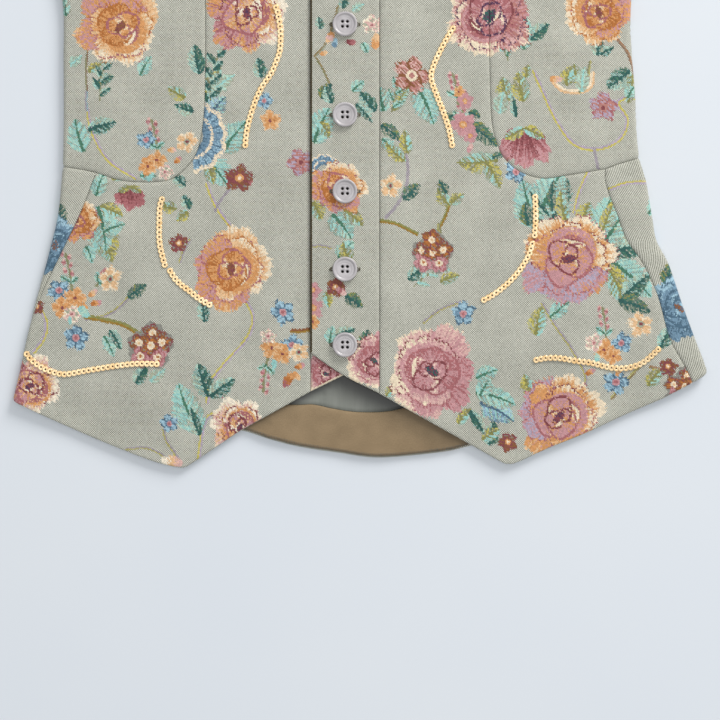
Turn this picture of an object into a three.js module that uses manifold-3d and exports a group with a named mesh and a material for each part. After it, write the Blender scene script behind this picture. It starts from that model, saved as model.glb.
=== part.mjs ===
// A sleeveless jacquard jacket, a waistcoat with a pointed hem, buttoned and laid flat on its back.
// X runs across it, Y from the hem to the shoulders, and Z up from the surface that it lies on. Lengths are
// in millimetres. The tables are written from the middle of the waist, and the whole is centred at the end.
// "right" and "left" are the wearer's: the wearer's left front lies at positive X and laps over the other.
//
// Each piece is cut flat from an outline, as cloth is, and its points are then laid on the flattened tube of
// the body: across the top, round the folded side, and on along the underside.
import * as THREE from "three";
import { mergeVertices } from "three/addons/utils/BufferGeometryUtils.js";
import Module from "manifold-3d";

const wasm = await Module();
wasm.setup();

// Cloth thicknesses and the gap that every seam and layer keeps
const SHELL = 1.2;
const BAND = 1.6;
const LINING = 1.0;
const SEAM_GAP = 0.3;

// Heights of the flattened body
const SIDE_HEIGHT = 5.4; // over the folded sides
const FOLD_RADIUS = SIDE_HEIGHT / 2;
const QUARTER_FOLD = (Math.PI * FOLD_RADIUS) / 2;
const CROWN = 0.8; // how much higher the middle of the fronts lies
const HEM_DROP = 1.1; // how far the fronts sink towards their hem
const POINT_DROP = 0.9; // and again where the points pass the back's hem
const HEM_DROP_REACH = 36;
const SHOULDER_TOP = 2 * SHELL + LINING + 2 * SEAM_GAP; // the lining reaches the shoulder between the two
const SHOULDER_REACH = 26; // over which the fronts come down to it

// Heights on the way up
const UNDERARM_Y = 191;
const BAND_HALF_WIDTH = 20.9;

// The folded sides in plan: half widths at each height
const SIDES = {
  left: [
    { y: -160, x: 224 }, { y: -125.1, x: 219.9 }, { y: -105.5, x: 212.7 }, { y: -84.2, x: 204.8 },
    { y: -71.5, x: 200.6 }, { y: -57.6, x: 195.6 }, { y: -46.1, x: 189.4 }, { y: -32.1, x: 186.7 },
    { y: -9.1, x: 182.7 }, { y: 4.8, x: 178.8 }, { y: 39.4, x: 176.4 }, { y: 100, x: 173.9 },
    { y: 130, x: 180 }, { y: 160, x: 193 }, { y: UNDERARM_Y, x: 207 }, { y: 420, x: 207 },
  ],
  right: [
    { y: -160, x: 204 }, { y: -142.4, x: 201.6 }, { y: -124.8, x: 197.5 }, { y: -97, x: 191.7 },
    { y: -67.3, x: 183.6 }, { y: -49.7, x: 178.9 }, { y: -29.7, x: 174.3 }, { y: -9.1, x: 172.2 },
    { y: 0, x: 171.5 }, { y: 63.6, x: 171 }, { y: 100, x: 171.8 },
    { y: 130, x: 179 }, { y: 160, x: 193 }, { y: UNDERARM_Y, x: 207 }, { y: 420, x: 207 },
  ],
};

// The side seam below the waist: how far onto the front it lies, along the cloth, from the fold's widest line
const SIDE_SEAMS = {
  left: [
    { y: -132, onto: 12 }, { y: -107.7, onto: 17 }, { y: -78.7, onto: 15 }, { y: -55.5, onto: 18 },
    { y: -30.9, onto: 22.7 }, { y: -9.1, onto: 26.5 }, { y: -2.4, onto: 24.5 },
  ],
  right: [
    { y: -144, onto: -6 }, { y: -120, onto: -3 }, { y: -95, onto: 0.5 }, { y: -81, onto: 3.3 },
    { y: -69.4, onto: 5.6 }, { y: -55.5, onto: 8.7 }, { y: -35.8, onto: 13.3 }, { y: -19.4, onto: 17.9 },
    { y: -4.6, onto: 22.2 },
  ],
};
const UPPER_SEAM_ONTO = -3.5; // above the waist it hides just under the fold

// The seam round the side panel, from the side seam inwards along the waist and up the front to the shoulder
const PANEL_SEAMS = {
  left: [
    { x: 137.5, y: -5.8 }, { x: 120.8, y: -8.1 }, { x: 107.8, y: -4.8 }, { x: 98.8, y: 1.8 },
    { x: 93.3, y: 10 }, { x: 89.1, y: 26 }, { x: 87.9, y: 53.9 }, { x: 87.3, y: 100 },
    { x: 89, y: 180 }, { x: 97, y: 290 }, { x: 116, y: 398.5 },
  ],
  right: [
    { x: 140.4, y: -8.2 }, { x: 130.3, y: -10 }, { x: 116.4, y: -10.3 }, { x: 105.5, y: -8.6 },
    { x: 96.8, y: -2 }, { x: 89.4, y: 9.1 }, { x: 85.9, y: 27.6 }, { x: 84.8, y: 54 },
    { x: 84.8, y: 100 }, { x: 87, y: 180 }, { x: 97, y: 290 }, { x: 116, y: 398.5 },
  ],
};

// Where the side panel's waist seam passes the fold and reaches the side seam behind it
const WAIST_ENDS = { left: { atFold: 4.8, behind: 5.4 }, right: { atFold: -0.6, behind: 0 } };

// The front hems, from the band seam out to the side
const FRONT_HEMS = {
  left: [
    { x: 25.7, y: -141.2 }, { x: 76.7, y: -169.7 }, { x: 93.9, y: -179.4 }, { x: 99, y: -181.2 },
    { x: 105, y: -180 }, { x: 121.2, y: -172.6 }, { x: 146.7, y: -162.2 }, { x: 168.8, y: -151.8 },
    { x: 193.2, y: -141.3 },
  ],
  right: [
    { x: 63.6, y: -161 }, { x: 92.5, y: -180.4 }, { x: 96.5, y: -182.7 }, { x: 101, y: -183.3 },
    { x: 116.4, y: -179.6 }, { x: 140.7, y: -170.3 }, { x: 162.7, y: -161 }, { x: 185.9, y: -150.6 },
  ],
};
// Each band's hem, from its free edge to its seam
const BAND_HEMS = {
  left: [{ x: -BAND_HALF_WIDTH, y: -114 }, { x: -1, y: -127.4 }, { x: BAND_HALF_WIDTH, y: -138.6 }],
  right: [{ x: BAND_HALF_WIDTH, y: -116 }, { x: -1, y: -127.4 }, { x: -BAND_HALF_WIDTH, y: -137.2 }],
};

// The back hem across the underside, from the wearer's right to left
const BACK_HEM = [
  { x: -185, y: -146 }, { x: -130, y: -152.5 }, { x: -95, y: -156.5 }, { x: -63.6, y: -160.8 },
  { x: -45, y: -166.5 }, { x: -27.3, y: -170.9 }, { x: -3, y: -174.6 }, { x: 21.2, y: -177.4 },
  { x: 57.6, y: -174.2 }, { x: 75.8, y: -170.3 }, { x: 120, y: -158.5 }, { x: 165, y: -143.5 },
  { x: 200, y: -131.5 },
];
const FACING_TOP = [
  { x: -195, y: -124 }, { x: -120, y: -135 }, { x: -60, y: -143.5 }, { x: -31, y: -145.4 },
  { x: -19.6, y: -145.2 }, { x: -8, y: -147.6 }, { x: 6, y: -149.7 }, { x: 23.3, y: -149.7 },
  { x: 36.1, y: -147.2 }, { x: 60, y: -141 }, { x: 120, y: -129 }, { x: 205, y: -107 },
];

// Neck, shoulder and armholes
const NECK_POINT = { x: 78, y: 408 };
const SHOULDER_TIP = { x: 158, y: 388 };
const NECKLINE = [
  { x: -BAND_HALF_WIDTH, y: 141 }, { x: 0, y: 168 }, { x: BAND_HALF_WIDTH, y: 203 }, { x: 50, y: 288 },
  { x: 70, y: 363 }, NECK_POINT,
];
const BACK_NECK = [{ x: 64, y: 397.5 }, { x: 40, y: 389.5 }, { x: 14, y: 386 }];
const FRONT_ARMHOLE = [
  { x: 150, y: 352 }, { x: 144, y: 312 }, { x: 143, y: 275 }, { x: 149, y: 240 }, { x: 165, y: 213 },
  { x: 187, y: 198 },
];
const BACK_ARMHOLE = [
  { x: 152, y: 352 }, { x: 148, y: 312 }, { x: 148, y: 272 }, { x: 155, y: 236 }, { x: 170, y: 211 },
  { x: 189, y: 198 },
];

// Soft ridges (positive height) and troughs in the fronts, each along a line at an angle in degrees
const FOLDS = [
  { x: 118, y: -62, angle: 62, length: 120, width: 20, height: 0.8 },
  { x: 62, y: -95, angle: 38, length: 90, width: 16, height: -0.6 },
  { x: 150, y: 42, angle: 14, length: 70, width: 13, height: 0.6 },
  { x: 128, y: 92, angle: -28, length: 90, width: 15, height: -0.5 },
  { x: 60, y: 120, angle: 66, length: 130, width: 22, height: 0.5 },
  { x: -112, y: -78, angle: -58, length: 110, width: 19, height: 0.7 },
  { x: -66, y: -112, angle: -35, length: 80, width: 15, height: -0.6 },
  { x: -136, y: 36, angle: -12, length: 80, width: 14, height: 0.6 },
  { x: -118, y: 104, angle: 30, length: 90, width: 16, height: -0.5 },
  { x: -62, y: 132, angle: -62, length: 120, width: 20, height: 0.6 },
  { x: -120, y: 262, angle: -72, length: 120, width: 18, height: 0.6 },
  { x: 118, y: 250, angle: 75, length: 130, width: 18, height: 0.6 },
];

// Buttons, from the hem up, on the middle line
const BUTTON_YS = [-109, -63.3, -16.2, 30, 84.7, 135.5];
const BUTTON = { radius: 7.5, rim: 1.5, thickness: 2.4, dish: 0.6, holeRadius: 0.85, holeAt: 1.55 };

// The flat grid that the pieces are cut from. Across the front a side is FLAT units from the middle to the
// fold, whatever its real width, and past that a unit is a millimetre along the cloth.
const FLAT = 100;
const FRONT_STEPS = [10, 15.5]; // across and up
const BAND_STEPS = [6, 10];
const BACK_STEPS = [50, 15.5];
const INSIDE_STEPS = [50, 62];
const FOLD_STEPS = 6;
const PAST_FOLD = [6, 14, 26, 42];
const LOW_Y = -200;
const HIGH_Y = 420;
const STRAIGHT = 1e-5; // a point less than this off a line can't be extruded

const smooth = (low, high, v) => THREE.MathUtils.smoothstep(v, low, high);

// A table's value at a height or place, along a smooth curve through its rows
function along(table, key, value, at) {
  const rows = table[0][key] < table[table.length - 1][key] ? table : [...table].reverse();
  let i = rows.findIndex((row) => row[key] > at) - 1;
  if (i < 0) i = at <= rows[0][key] ? 0 : rows.length - 2;
  const [a, b] = [rows[i], rows[i + 1]];
  const slope = (lo, hi) => (hi[value] - lo[value]) / (hi[key] - lo[key]);
  const here = slope(a, b);
  const before = i > 0 ? (slope(rows[i - 1], a) + here) / 2 : here;
  const after = i + 2 < rows.length ? (slope(b, rows[i + 2]) + here) / 2 : here;
  const span = b[key] - a[key];
  const t = THREE.MathUtils.clamp((at - a[key]) / span, 0, 1);
  const curve = (1 + 2 * t) * (1 - t) ** 2 * a[value] + t * t * (3 - 2 * t) * b[value];
  return curve + span * (t * (1 - t) ** 2 * before - t * t * (1 - t) * after);
}

const sideOf = (x) => (x < 0 ? "right" : "left");
const signOf = (side) => (side === "left" ? 1 : -1);
// Where the flat of a side ends and its fold begins, in plan
const foldStart = (side, y) => along(SIDES[side], "y", "x", y) - FOLD_RADIUS;
const ontoAt = (side, y) => along(SIDE_SEAMS[side], "y", "onto", y);

const hemTables = Object.fromEntries(
  ["left", "right"].map((side) => {
    const corner = SIDES[side][1];
    const seam = BAND_HEMS[side][2];
    return [side, [{ x: 0, y: -128 }, { x: BAND_HALF_WIDTH, y: seam.y }, ...FRONT_HEMS[side], corner]];
  }),
);

// Height of the fronts' outer face
function frontTop(x, y) {
  const side = sideOf(x);
  const share = Math.abs(x) / foldStart(side, y);
  const inside = 1 - smooth(0.8, 1, share);
  const hem = along(hemTables[side], "x", "y", Math.abs(x));
  const nearHem = 1 - smooth(0, HEM_DROP_REACH, y - hem);
  const pastBack = 1 - smooth(0, 16, y - along(BACK_HEM, "x", "y", x));
  let z = SIDE_HEIGHT + CROWN * (1 - share ** 2) * smooth(-1, 0.6, 1 - share);
  for (const fold of FOLDS) {
    const turn = THREE.MathUtils.degToRad(fold.angle);
    const [dx, dy] = [x - fold.x, y - fold.y];
    const run = (dx * Math.cos(turn) + dy * Math.sin(turn)) / (fold.length / 2);
    const across = (-dx * Math.sin(turn) + dy * Math.cos(turn)) / fold.width;
    z += inside * (1 - nearHem) * fold.height * Math.exp(-(run ** 4) - across ** 2);
  }
  z -= inside * (HEM_DROP * nearHem + POINT_DROP * pastBack);
  const slope = (NECK_POINT.y - SHOULDER_TIP.y) / (SHOULDER_TIP.x - NECK_POINT.x);
  const shoulder = NECK_POINT.y - slope * (Math.abs(x) - NECK_POINT.x);
  return THREE.MathUtils.lerp(SHOULDER_TOP, z, smooth(0, SHOULDER_REACH, shoulder - y));
}

// The over band lies on the under one, and the front that it is sewn to comes down from it
const LAP = BAND + SEAM_GAP;
const bandTop = (x, y) => frontTop(x, y) + LAP;
const besideBand = (x, y) => frontTop(x, y) + (LAP - SEAM_GAP) * (1 - smooth(BAND_HALF_WIDTH, 52, x));

// A grid point (q across, y up, t into the cloth) laid on the body. top(x, y) is the height of its outer face.
function layOnFront(top) {
  return (q, y, t) => {
    const side = sideOf(q);
    const sign = signOf(side);
    const start = foldStart(side, y);
    const past = Math.abs(q) - FLAT;
    if (past <= 0) {
      const x = (q / FLAT) * start;
      return [x, y, top(x, y) - t];
    }
    const turned = Math.min(past / FOLD_RADIUS, Math.PI);
    const under = past - turned * FOLD_RADIUS;
    const r = FOLD_RADIUS - t;
    return [sign * (start + r * Math.sin(turned) - under), y, FOLD_RADIUS + r * Math.cos(turned)];
  };
}

// The same for the back, which starts on the underside and folds up onto the front
function layOnBack(q, y, t) {
  const side = sideOf(q);
  const sign = signOf(side);
  const start = foldStart(side, y);
  const past = Math.abs(q) - FLAT;
  if (past <= 0) return [(q / FLAT) * start, y, t];
  const turned = Math.min(past / FOLD_RADIUS, Math.PI);
  const over = past - turned * FOLD_RADIUS;
  const r = FOLD_RADIUS - t;
  const x = sign * (start + r * Math.sin(turned) - over);
  const z = turned < Math.PI ? FOLD_RADIUS - r * Math.cos(turned) : frontTop(x, y) - t;
  return [x, y, z];
}

// A flat layer inside the body
const layInside = (bottom) => (q, y, t) => [(q / FLAT) * foldStart(sideOf(q), y), y, bottom + t];

// A closed mesh as a solid that can be cut
function solidOf(geometry) {
  const plain = new THREE.BufferGeometry();
  const loose = geometry.index ? geometry.toNonIndexed() : geometry;
  plain.setAttribute("position", loose.getAttribute("position"));
  const merged = mergeVertices(plain, 1e-4);
  return new wasm.Manifold(
    new wasm.Mesh({
      numProp: 3,
      vertProperties: merged.attributes.position.array,
      triVerts: new Uint32Array(merged.index.array),
    }),
  );
}

// A solid's mesh with every point moved by place(x, y, z)
function geometryOf(solid, place = (x, y, z) => [x, y, z]) {
  const mesh = solid.getMesh();
  const points = new Float32Array(mesh.numVert * 3);
  for (let i = 0; i < mesh.numVert; i++) {
    const [x, y, z] = mesh.vertProperties.subarray(i * mesh.numProp, i * mesh.numProp + 3);
    points.set(place(x, y, z), i * 3);
  }
  const geometry = new THREE.BufferGeometry();
  geometry.setAttribute("position", new THREE.BufferAttribute(points, 3));
  geometry.setIndex(new THREE.BufferAttribute(new Uint32Array(mesh.triVerts), 1));
  geometry.computeVertexNormals();
  return geometry;
}

// The uncut cloth: a slab of the given thickness, divided so that it can bend along the grid's lines
function cloth(thickness, flatStep, rowStep) {
  const half = [];
  for (let q = 0; q <= FLAT; q += flatStep) half.push(q);
  const wholeFold = 2 * QUARTER_FOLD;
  for (let i = 1; i <= FOLD_STEPS; i++) half.push(FLAT + (i * wholeFold) / FOLD_STEPS);
  for (const past of PAST_FOLD) half.push(FLAT + wholeFold + past);
  const columns = [...half.slice(1).reverse().map((q) => -q), ...half];
  const rowCount = Math.round((HIGH_Y - LOW_Y) / rowStep);
  const slab = new THREE.BoxGeometry(1, 1, 1, columns.length - 1, rowCount, 1);
  const position = slab.getAttribute("position");
  for (let i = 0; i < position.count; i++) {
    const column = Math.round((position.getX(i) + 0.5) * (columns.length - 1));
    const y = LOW_Y + (position.getY(i) + 0.5) * (HIGH_Y - LOW_Y);
    position.setXYZ(i, columns[column], y, (position.getZ(i) + 0.5) * thickness);
  }
  return solidOf(slab);
}

// The outline drawn in by half a seam gap
function drawnIn(outline) {
  const points = outline.map((p) => new THREE.Vector2(p.x, p.y));
  const area = THREE.ShapeUtils.area(points);
  const turn = Math.sign(area);
  return points.map((p, i) => {
    const before = points[(i + points.length - 1) % points.length];
    const after = points[(i + 1) % points.length];
    const a = new THREE.Vector2().subVectors(p, before).normalize();
    const b = new THREE.Vector2().subVectors(after, p).normalize();
    const inward = new THREE.Vector2(-(a.y + b.y), a.x + b.x).multiplyScalar(turn);
    const spread = Math.max(inward.length() / 2, 0.5);
    return p.clone().addScaledVector(inward.normalize(), SEAM_GAP / 2 / spread);
  });
}

// Points from a to b with none further apart than a step, in a straight line
function line(a, b, step = 9) {
  const count = Math.max(1, Math.ceil(Math.hypot(b.x - a.x, b.y - a.y) / step));
  return Array.from({ length: count }, (_, i) => ({
    x: a.x + ((b.x - a.x) * i) / count,
    y: a.y + ((b.y - a.y) * i) / count,
  }));
}

// A closed outline through corners and the rows of tables, which may be nested
function outlineOf(...parts) {
  const points = parts.flat(9);
  return points.flatMap((p, i) => line(p, points[(i + 1) % points.length]));
}

// A place along the cloth as a grid place
function gridPlace(p) {
  const side = sideOf(p.x);
  const start = foldStart(side, p.y);
  const along = Math.abs(p.x);
  const q = along <= start ? (along * FLAT) / start : FLAT + along - start;
  return new THREE.Vector2(signOf(side) * q, p.y);
}

// The points of a closed outline without those that lie on the line between their neighbours
function withoutStraightPoints(points) {
  const kept = [];
  points.forEach((p, i) => {
    const before = kept[kept.length - 1] ?? points[points.length - 1];
    const after = points[(i + 1) % points.length];
    const area = new THREE.Vector2().subVectors(p, before).cross(new THREE.Vector2().subVectors(after, p));
    if (Math.abs(area) > STRAIGHT * before.distanceTo(after)) kept.push(p);
  });
  return kept;
}

// A piece of cloth: its outline holds places along the cloth from the middle line, and heights
function piece(name, outline, thickness, material, lay, flatStep, rowStep) {
  const shape = new THREE.Shape(withoutStraightPoints(drawnIn(outline).map(gridPlace)));
  const cutter = new THREE.ExtrudeGeometry(shape, { depth: 3 * thickness, bevelEnabled: false });
  cutter.translate(0, 0, -thickness);
  const cut = cloth(thickness, flatStep, rowStep).intersect(solidOf(cutter));
  // On the front the cloth's thickness runs down, so its faces are turned the other way
  const geometry = geometryOf(cut, lay);
  const box = new THREE.Box3().setFromBufferAttribute(geometry.getAttribute("position"));
  if (!Number.isFinite(box.min.x)) throw new Error(name + " has no points");
  if (volumeOf(geometry) < 0) geometry.index.array.reverse();
  const mesh = new THREE.Mesh(geometry, material);
  mesh.name = name;
  return mesh;
}

function volumeOf(geometry) {
  const [p, index] = [geometry.getAttribute("position"), geometry.index.array];
  const corner = (i) => new THREE.Vector3().fromBufferAttribute(p, index[i]);
  let volume = 0;
  for (let i = 0; i < index.length; i += 3) {
    volume += corner(i).dot(corner(i + 1).cross(corner(i + 2))) / 6;
  }
  return volume;
}

const mirrored = (points) => points.map((p) => ({ x: -p.x, y: p.y }));
const reversed = (points) => [...points].reverse();
const onSide = (side, points) => (side === "left" ? points : mirrored(points));

// Points of the side seam along the cloth, from low to high. Front pieces measure from the middle of the front
// and the back from the middle of the back, so the seam's place onto the front counts down or up.
function sideSeam(side, towards, low, high, onto) {
  const points = [];
  const count = Math.ceil((high - low) / 8);
  for (let i = 0; i <= count; i++) {
    const y = low + ((high - low) * i) / count;
    points.push({ x: foldStart(side, y) + QUARTER_FOLD + towards * onto(y), y });
  }
  return points;
}
const FRONT = -1;
const BACK = 1;

// The end of the side panel's waist seam: from the slanted side seam over the fold to the upper side seam
function waistEnd(side, towards) {
  const { atFold, behind } = WAIST_ENDS[side];
  const at = (onto, y) => ({ x: foldStart(side, y) + QUARTER_FOLD + towards * onto, y });
  const top = SIDE_SEAMS[side][SIDE_SEAMS[side].length - 1];
  return [at(top.onto, top.y), at((2 * top.onto) / 3, (2 * top.y + atFold) / 3 + 0.4), at(0, atFold),
    at(UPPER_SEAM_ONTO, behind)];
}

const upperOnto = () => UPPER_SEAM_ONTO;
const armholeFoot = (side, towards) => sideSeam(side, towards, UNDERARM_Y - 1, UNDERARM_Y, upperOnto)[1];

function sidePanel(side) {
  const ends = waistEnd(side, FRONT);
  return outlineOf(
    reversed(ends),
    PANEL_SEAMS[side],
    SHOULDER_TIP,
    FRONT_ARMHOLE,
    reversed(sideSeam(side, FRONT, ends[3].y + 8, UNDERARM_Y, upperOnto)),
  );
}

function centrePanel(side) {
  const low = SIDE_SEAMS[side][0].y;
  const top = SIDE_SEAMS[side][SIDE_SEAMS[side].length - 1].y;
  const seamHem = { x: BAND_HALF_WIDTH, y: BAND_HEMS[side][2].y };
  const corner = side === "right" ? [{ x: foldStart(side, -142) + QUARTER_FOLD, y: -142.4 }] : [];
  return outlineOf(
    seamHem,
    FRONT_HEMS[side],
    corner,
    sideSeam(side, FRONT, low, top, (y) => ontoAt(side, y)),
    PANEL_SEAMS[side],
    reversed(NECKLINE.slice(2)),
  );
}

function band(side) {
  const hem = BAND_HEMS[side];
  const neck = side === "left" ? NECKLINE.slice(0, 3) : mirrored(NECKLINE.slice(0, 3));
  return outlineOf(hem, reversed(neck));
}

// One side of the back, from its hem up to the neck
function backSide(side) {
  const low = SIDE_SEAMS[side][0].y;
  const top = SIDE_SEAMS[side][SIDE_SEAMS[side].length - 1].y;
  const ends = waistEnd(side, BACK);
  const corner = side === "left" ? [{ x: foldStart(side, -125) + QUARTER_FOLD, y: -125.1 }] : [];
  return [
    corner,
    sideSeam(side, BACK, low, top, (y) => ontoAt(side, y)),
    ends.slice(1),
    sideSeam(side, BACK, ends[3].y + 8, UNDERARM_Y, upperOnto),
    reversed(BACK_ARMHOLE),
    SHOULDER_TIP,
    NECK_POINT,
    BACK_NECK,
  ].flat();
}

function liningOutline() {
  const INSET = 4;
  const half = (side) => {
    const points = [];
    for (let y = -100; y < UNDERARM_Y - 12; y += 24) points.push({ x: foldStart(side, y) - 1, y });
    const armhole = reversed(BACK_ARMHOLE).map((p) => ({ x: p.x - INSET, y: p.y }));
    const shoulder = [SHOULDER_TIP, NECK_POINT].map((p) => ({ x: p.x - 1, y: p.y - 7 }));
    const neck = BACK_NECK.map((p) => ({ x: p.x, y: p.y - 1 }));
    return onSide(side, [...points, ...armhole, ...shoulder, ...neck]);
  };
  return outlineOf(facingTop(), half("left"), reversed(half("right")));
}

function facingTop() {
  return FACING_TOP.map((p) => {
    const most = foldStart(sideOf(p.x), p.y) - 1;
    return { x: THREE.MathUtils.clamp(p.x, -most, most), y: p.y };
  });
}

function facingOutline() {
  const hem = BACK_HEM.map((p) => ({ x: p.x, y: p.y + 1 }));
  const end = (side, y) => onSide(side, [{ x: foldStart(side, y) - 1, y }]);
  return outlineOf(hem, end("left", -122), reversed(facingTop()), end("right", -140));
}

function button(index, y, material) {
  const { radius, rim, thickness, dish, holeRadius, holeAt } = BUTTON;
  const profile = [
    [0, 0], [radius - 1.6, 0], [radius, 0.9], [radius, thickness - 0.5], [radius - 0.6, thickness],
    [radius - rim, thickness - 0.15], [radius - rim - 0.9, thickness - dish], [0, thickness - dish],
  ].map(([r, z]) => new THREE.Vector2(r, z));
  const SIDES_OF_BUTTON = 28;
  let body = solidOf(new THREE.LatheGeometry(profile, SIDES_OF_BUTTON).rotateX(Math.PI / 2));
  if (body.volume() < 0) throw new Error("the button's profile is inside out");
  for (const [i, j] of [[-1, -1], [-1, 1], [1, -1], [1, 1]]) {
    const drill = new THREE.CylinderGeometry(holeRadius, holeRadius, 3 * thickness, 10);
    drill.rotateX(Math.PI / 2).translate(i * holeAt, j * holeAt, 0);
    body = body.subtract(solidOf(drill));
  }
  const mesh = new THREE.Mesh(geometryOf(body), material);
  mesh.name = "button_" + (index + 1);
  let seat = 0;
  for (let turn = 0; turn < 8; turn++) {
    const a = (turn * Math.PI) / 4;
    seat = Math.max(seat, bandTop(radius * Math.cos(a), y + radius * Math.sin(a)), bandTop(0, y));
  }
  mesh.position.set(0, y, seat + SEAM_GAP);
  return mesh;
}

const look = (color, roughness) => new THREE.MeshStandardMaterial({ color, roughness, metalness: 0 });
const jacquard = look("#b3b3a4", 0.85);
const satin = look("#8b918a", 0.45);
const facingCloth = look("#8a7557", 0.6);
const buttonHorn = look("#bdb9bb", 0.4);

const jacket = new THREE.Group();
for (const side of ["right", "left"]) {
  const top = side === "left" ? besideBand : frontTop;
  const front = onSide(side, centrePanel(side));
  const sideFront = onSide(side, sidePanel(side));
  jacket.add(piece("front_" + side, front, SHELL, jacquard, layOnFront(top), ...FRONT_STEPS));
  jacket.add(piece("side_front_" + side, sideFront, SHELL, jacquard, layOnFront(frontTop), ...FRONT_STEPS));
}
jacket.add(piece("button_band", band("right"), BAND, jacquard, layOnFront(frontTop), ...BAND_STEPS));
jacket.add(piece("buttonhole_band", band("left"), BAND, jacquard, layOnFront(bandTop), ...BAND_STEPS));

const backOutline = outlineOf(BACK_HEM, backSide("left"), reversed(mirrored(backSide("right"))));
jacket.add(piece("back", backOutline, SHELL, jacquard, layOnBack, ...BACK_STEPS));
const INSIDE_Z = SHELL + SEAM_GAP;
jacket.add(piece("back_lining", liningOutline(), LINING, satin, layInside(INSIDE_Z), ...INSIDE_STEPS));
jacket.add(piece("back_hem_facing", facingOutline(), LINING, facingCloth, layInside(INSIDE_Z), ...INSIDE_STEPS));
BUTTON_YS.forEach((y, index) => jacket.add(button(index, y, buttonHorn)));

// The origin is under the middle of the whole, on the surface that it lies on
const extent = new THREE.Box3().setFromObject(jacket);
const middle = extent.getCenter(new THREE.Vector3());
jacket.position.set(-middle.x, -middle.y, 0);

export default jacket;
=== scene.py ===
"""The looks of a sleeveless floral jacquard jacket, buttoned and laid flat on its back.

Lengths are in millimetres until a mesh is made. X runs across the garment from its middle line, Y up it from
the waist, and Z up from the surface it lies on. "right" and "left" are the wearer's.
"""

import math

import bpy
import numpy as np
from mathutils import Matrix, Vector
from mathutils.geometry import delaunay_2d_cdt
from mathutils.kdtree import KDTree


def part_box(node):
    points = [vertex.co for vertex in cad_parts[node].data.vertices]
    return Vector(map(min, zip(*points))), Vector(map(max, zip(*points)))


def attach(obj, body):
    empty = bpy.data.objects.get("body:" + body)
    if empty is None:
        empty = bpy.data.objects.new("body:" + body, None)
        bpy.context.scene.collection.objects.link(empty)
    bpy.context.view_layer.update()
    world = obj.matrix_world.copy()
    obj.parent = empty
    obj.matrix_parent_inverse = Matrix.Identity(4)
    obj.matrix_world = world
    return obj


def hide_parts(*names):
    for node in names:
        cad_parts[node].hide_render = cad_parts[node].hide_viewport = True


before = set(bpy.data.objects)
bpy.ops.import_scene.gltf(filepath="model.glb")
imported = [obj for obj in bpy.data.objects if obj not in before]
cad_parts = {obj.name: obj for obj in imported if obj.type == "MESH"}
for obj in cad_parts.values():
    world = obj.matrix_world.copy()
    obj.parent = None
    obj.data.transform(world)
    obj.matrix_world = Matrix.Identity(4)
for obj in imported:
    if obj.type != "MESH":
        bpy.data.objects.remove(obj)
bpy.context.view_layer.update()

MM = 0.001
BUTTON_YS = [-109, -63.3, -16.2, 30, 84.7, 135.5]
low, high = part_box("button_1")
# The middle of the waist in the frame, found from the lowest button
MIDDLE = ((low.x + high.x) / 2 / MM, (low.y + high.y) / 2 / MM - BUTTON_YS[0])

# ------------------------------------------------
# Sizes of the garment
# ------------------------------------------------
SHELL = 1.2
BAND = 1.6
LINING = 1.0
SEAM_GAP = 0.3
SEAM_DRAWN_IN = 0.07  # how far each piece stays back from a seam's line
SIDE_HEIGHT = 5.4
FOLD_RADIUS = SIDE_HEIGHT / 2
QUARTER_FOLD = math.pi * FOLD_RADIUS / 2
CROWN = 0.8
HEM_DROP = 1.1
POINT_DROP = 0.9
HEM_DROP_REACH = 36
POINT_DROP_REACH = 16  # above the back's hem, past which the points drop
SHOULDER_TOP = 2 * SHELL + LINING + 2 * SEAM_GAP
SHOULDER_REACH = 26
UNDERARM_Y = 191
BAND_HALF_WIDTH = 20.9
STEP_END = 52  # where the left front is back on its own height, beside the band's step
LAP = BAND + SEAM_GAP
SIGN = {"right": -1, "left": 1}

# Half widths to the folded sides: height, half width
SIDES = {
    "left": [
        (-160, 224), (-125.1, 219.9), (-105.5, 212.7), (-84.2, 204.8), (-71.5, 200.6), (-57.6, 195.6),
        (-46.1, 189.4), (-32.1, 186.7), (-9.1, 182.7), (4.8, 178.8), (39.4, 176.4), (100, 173.9), (130, 180),
        (160, 193), (UNDERARM_Y, 207), (420, 207),
    ],
    "right": [
        (-160, 204), (-142.4, 201.6), (-124.8, 197.5), (-97, 191.7), (-67.3, 183.6), (-49.7, 178.9),
        (-29.7, 174.3), (-9.1, 172.2), (0, 171.5), (63.6, 171), (100, 171.8), (130, 179), (160, 193),
        (UNDERARM_Y, 207), (420, 207),
    ],
}
# The side seam below the waist: height, and how far onto the front it lies along the cloth
SIDE_SEAMS = {
    "left": [(-132, 12), (-107.7, 17), (-78.7, 15), (-55.5, 18), (-30.9, 22.7), (-9.1, 26.5), (-2.4, 24.5)],
    "right": [
        (-144, -6), (-120, -3), (-95, 0.5), (-81, 3.3), (-69.4, 5.6), (-55.5, 8.7), (-35.8, 13.3),
        (-19.4, 17.9), (-4.6, 22.2),
    ],
}
UPPER_SEAM_ONTO = -3.5
UPPER_SEAM_START = 8  # above the waist seam's end
# The hem's corners at the fold: the height at which the fold is measured, and the corner's own
HEM_CORNERS = {"left": (-125, -125.1), "right": (-142, -142.4)}
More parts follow.
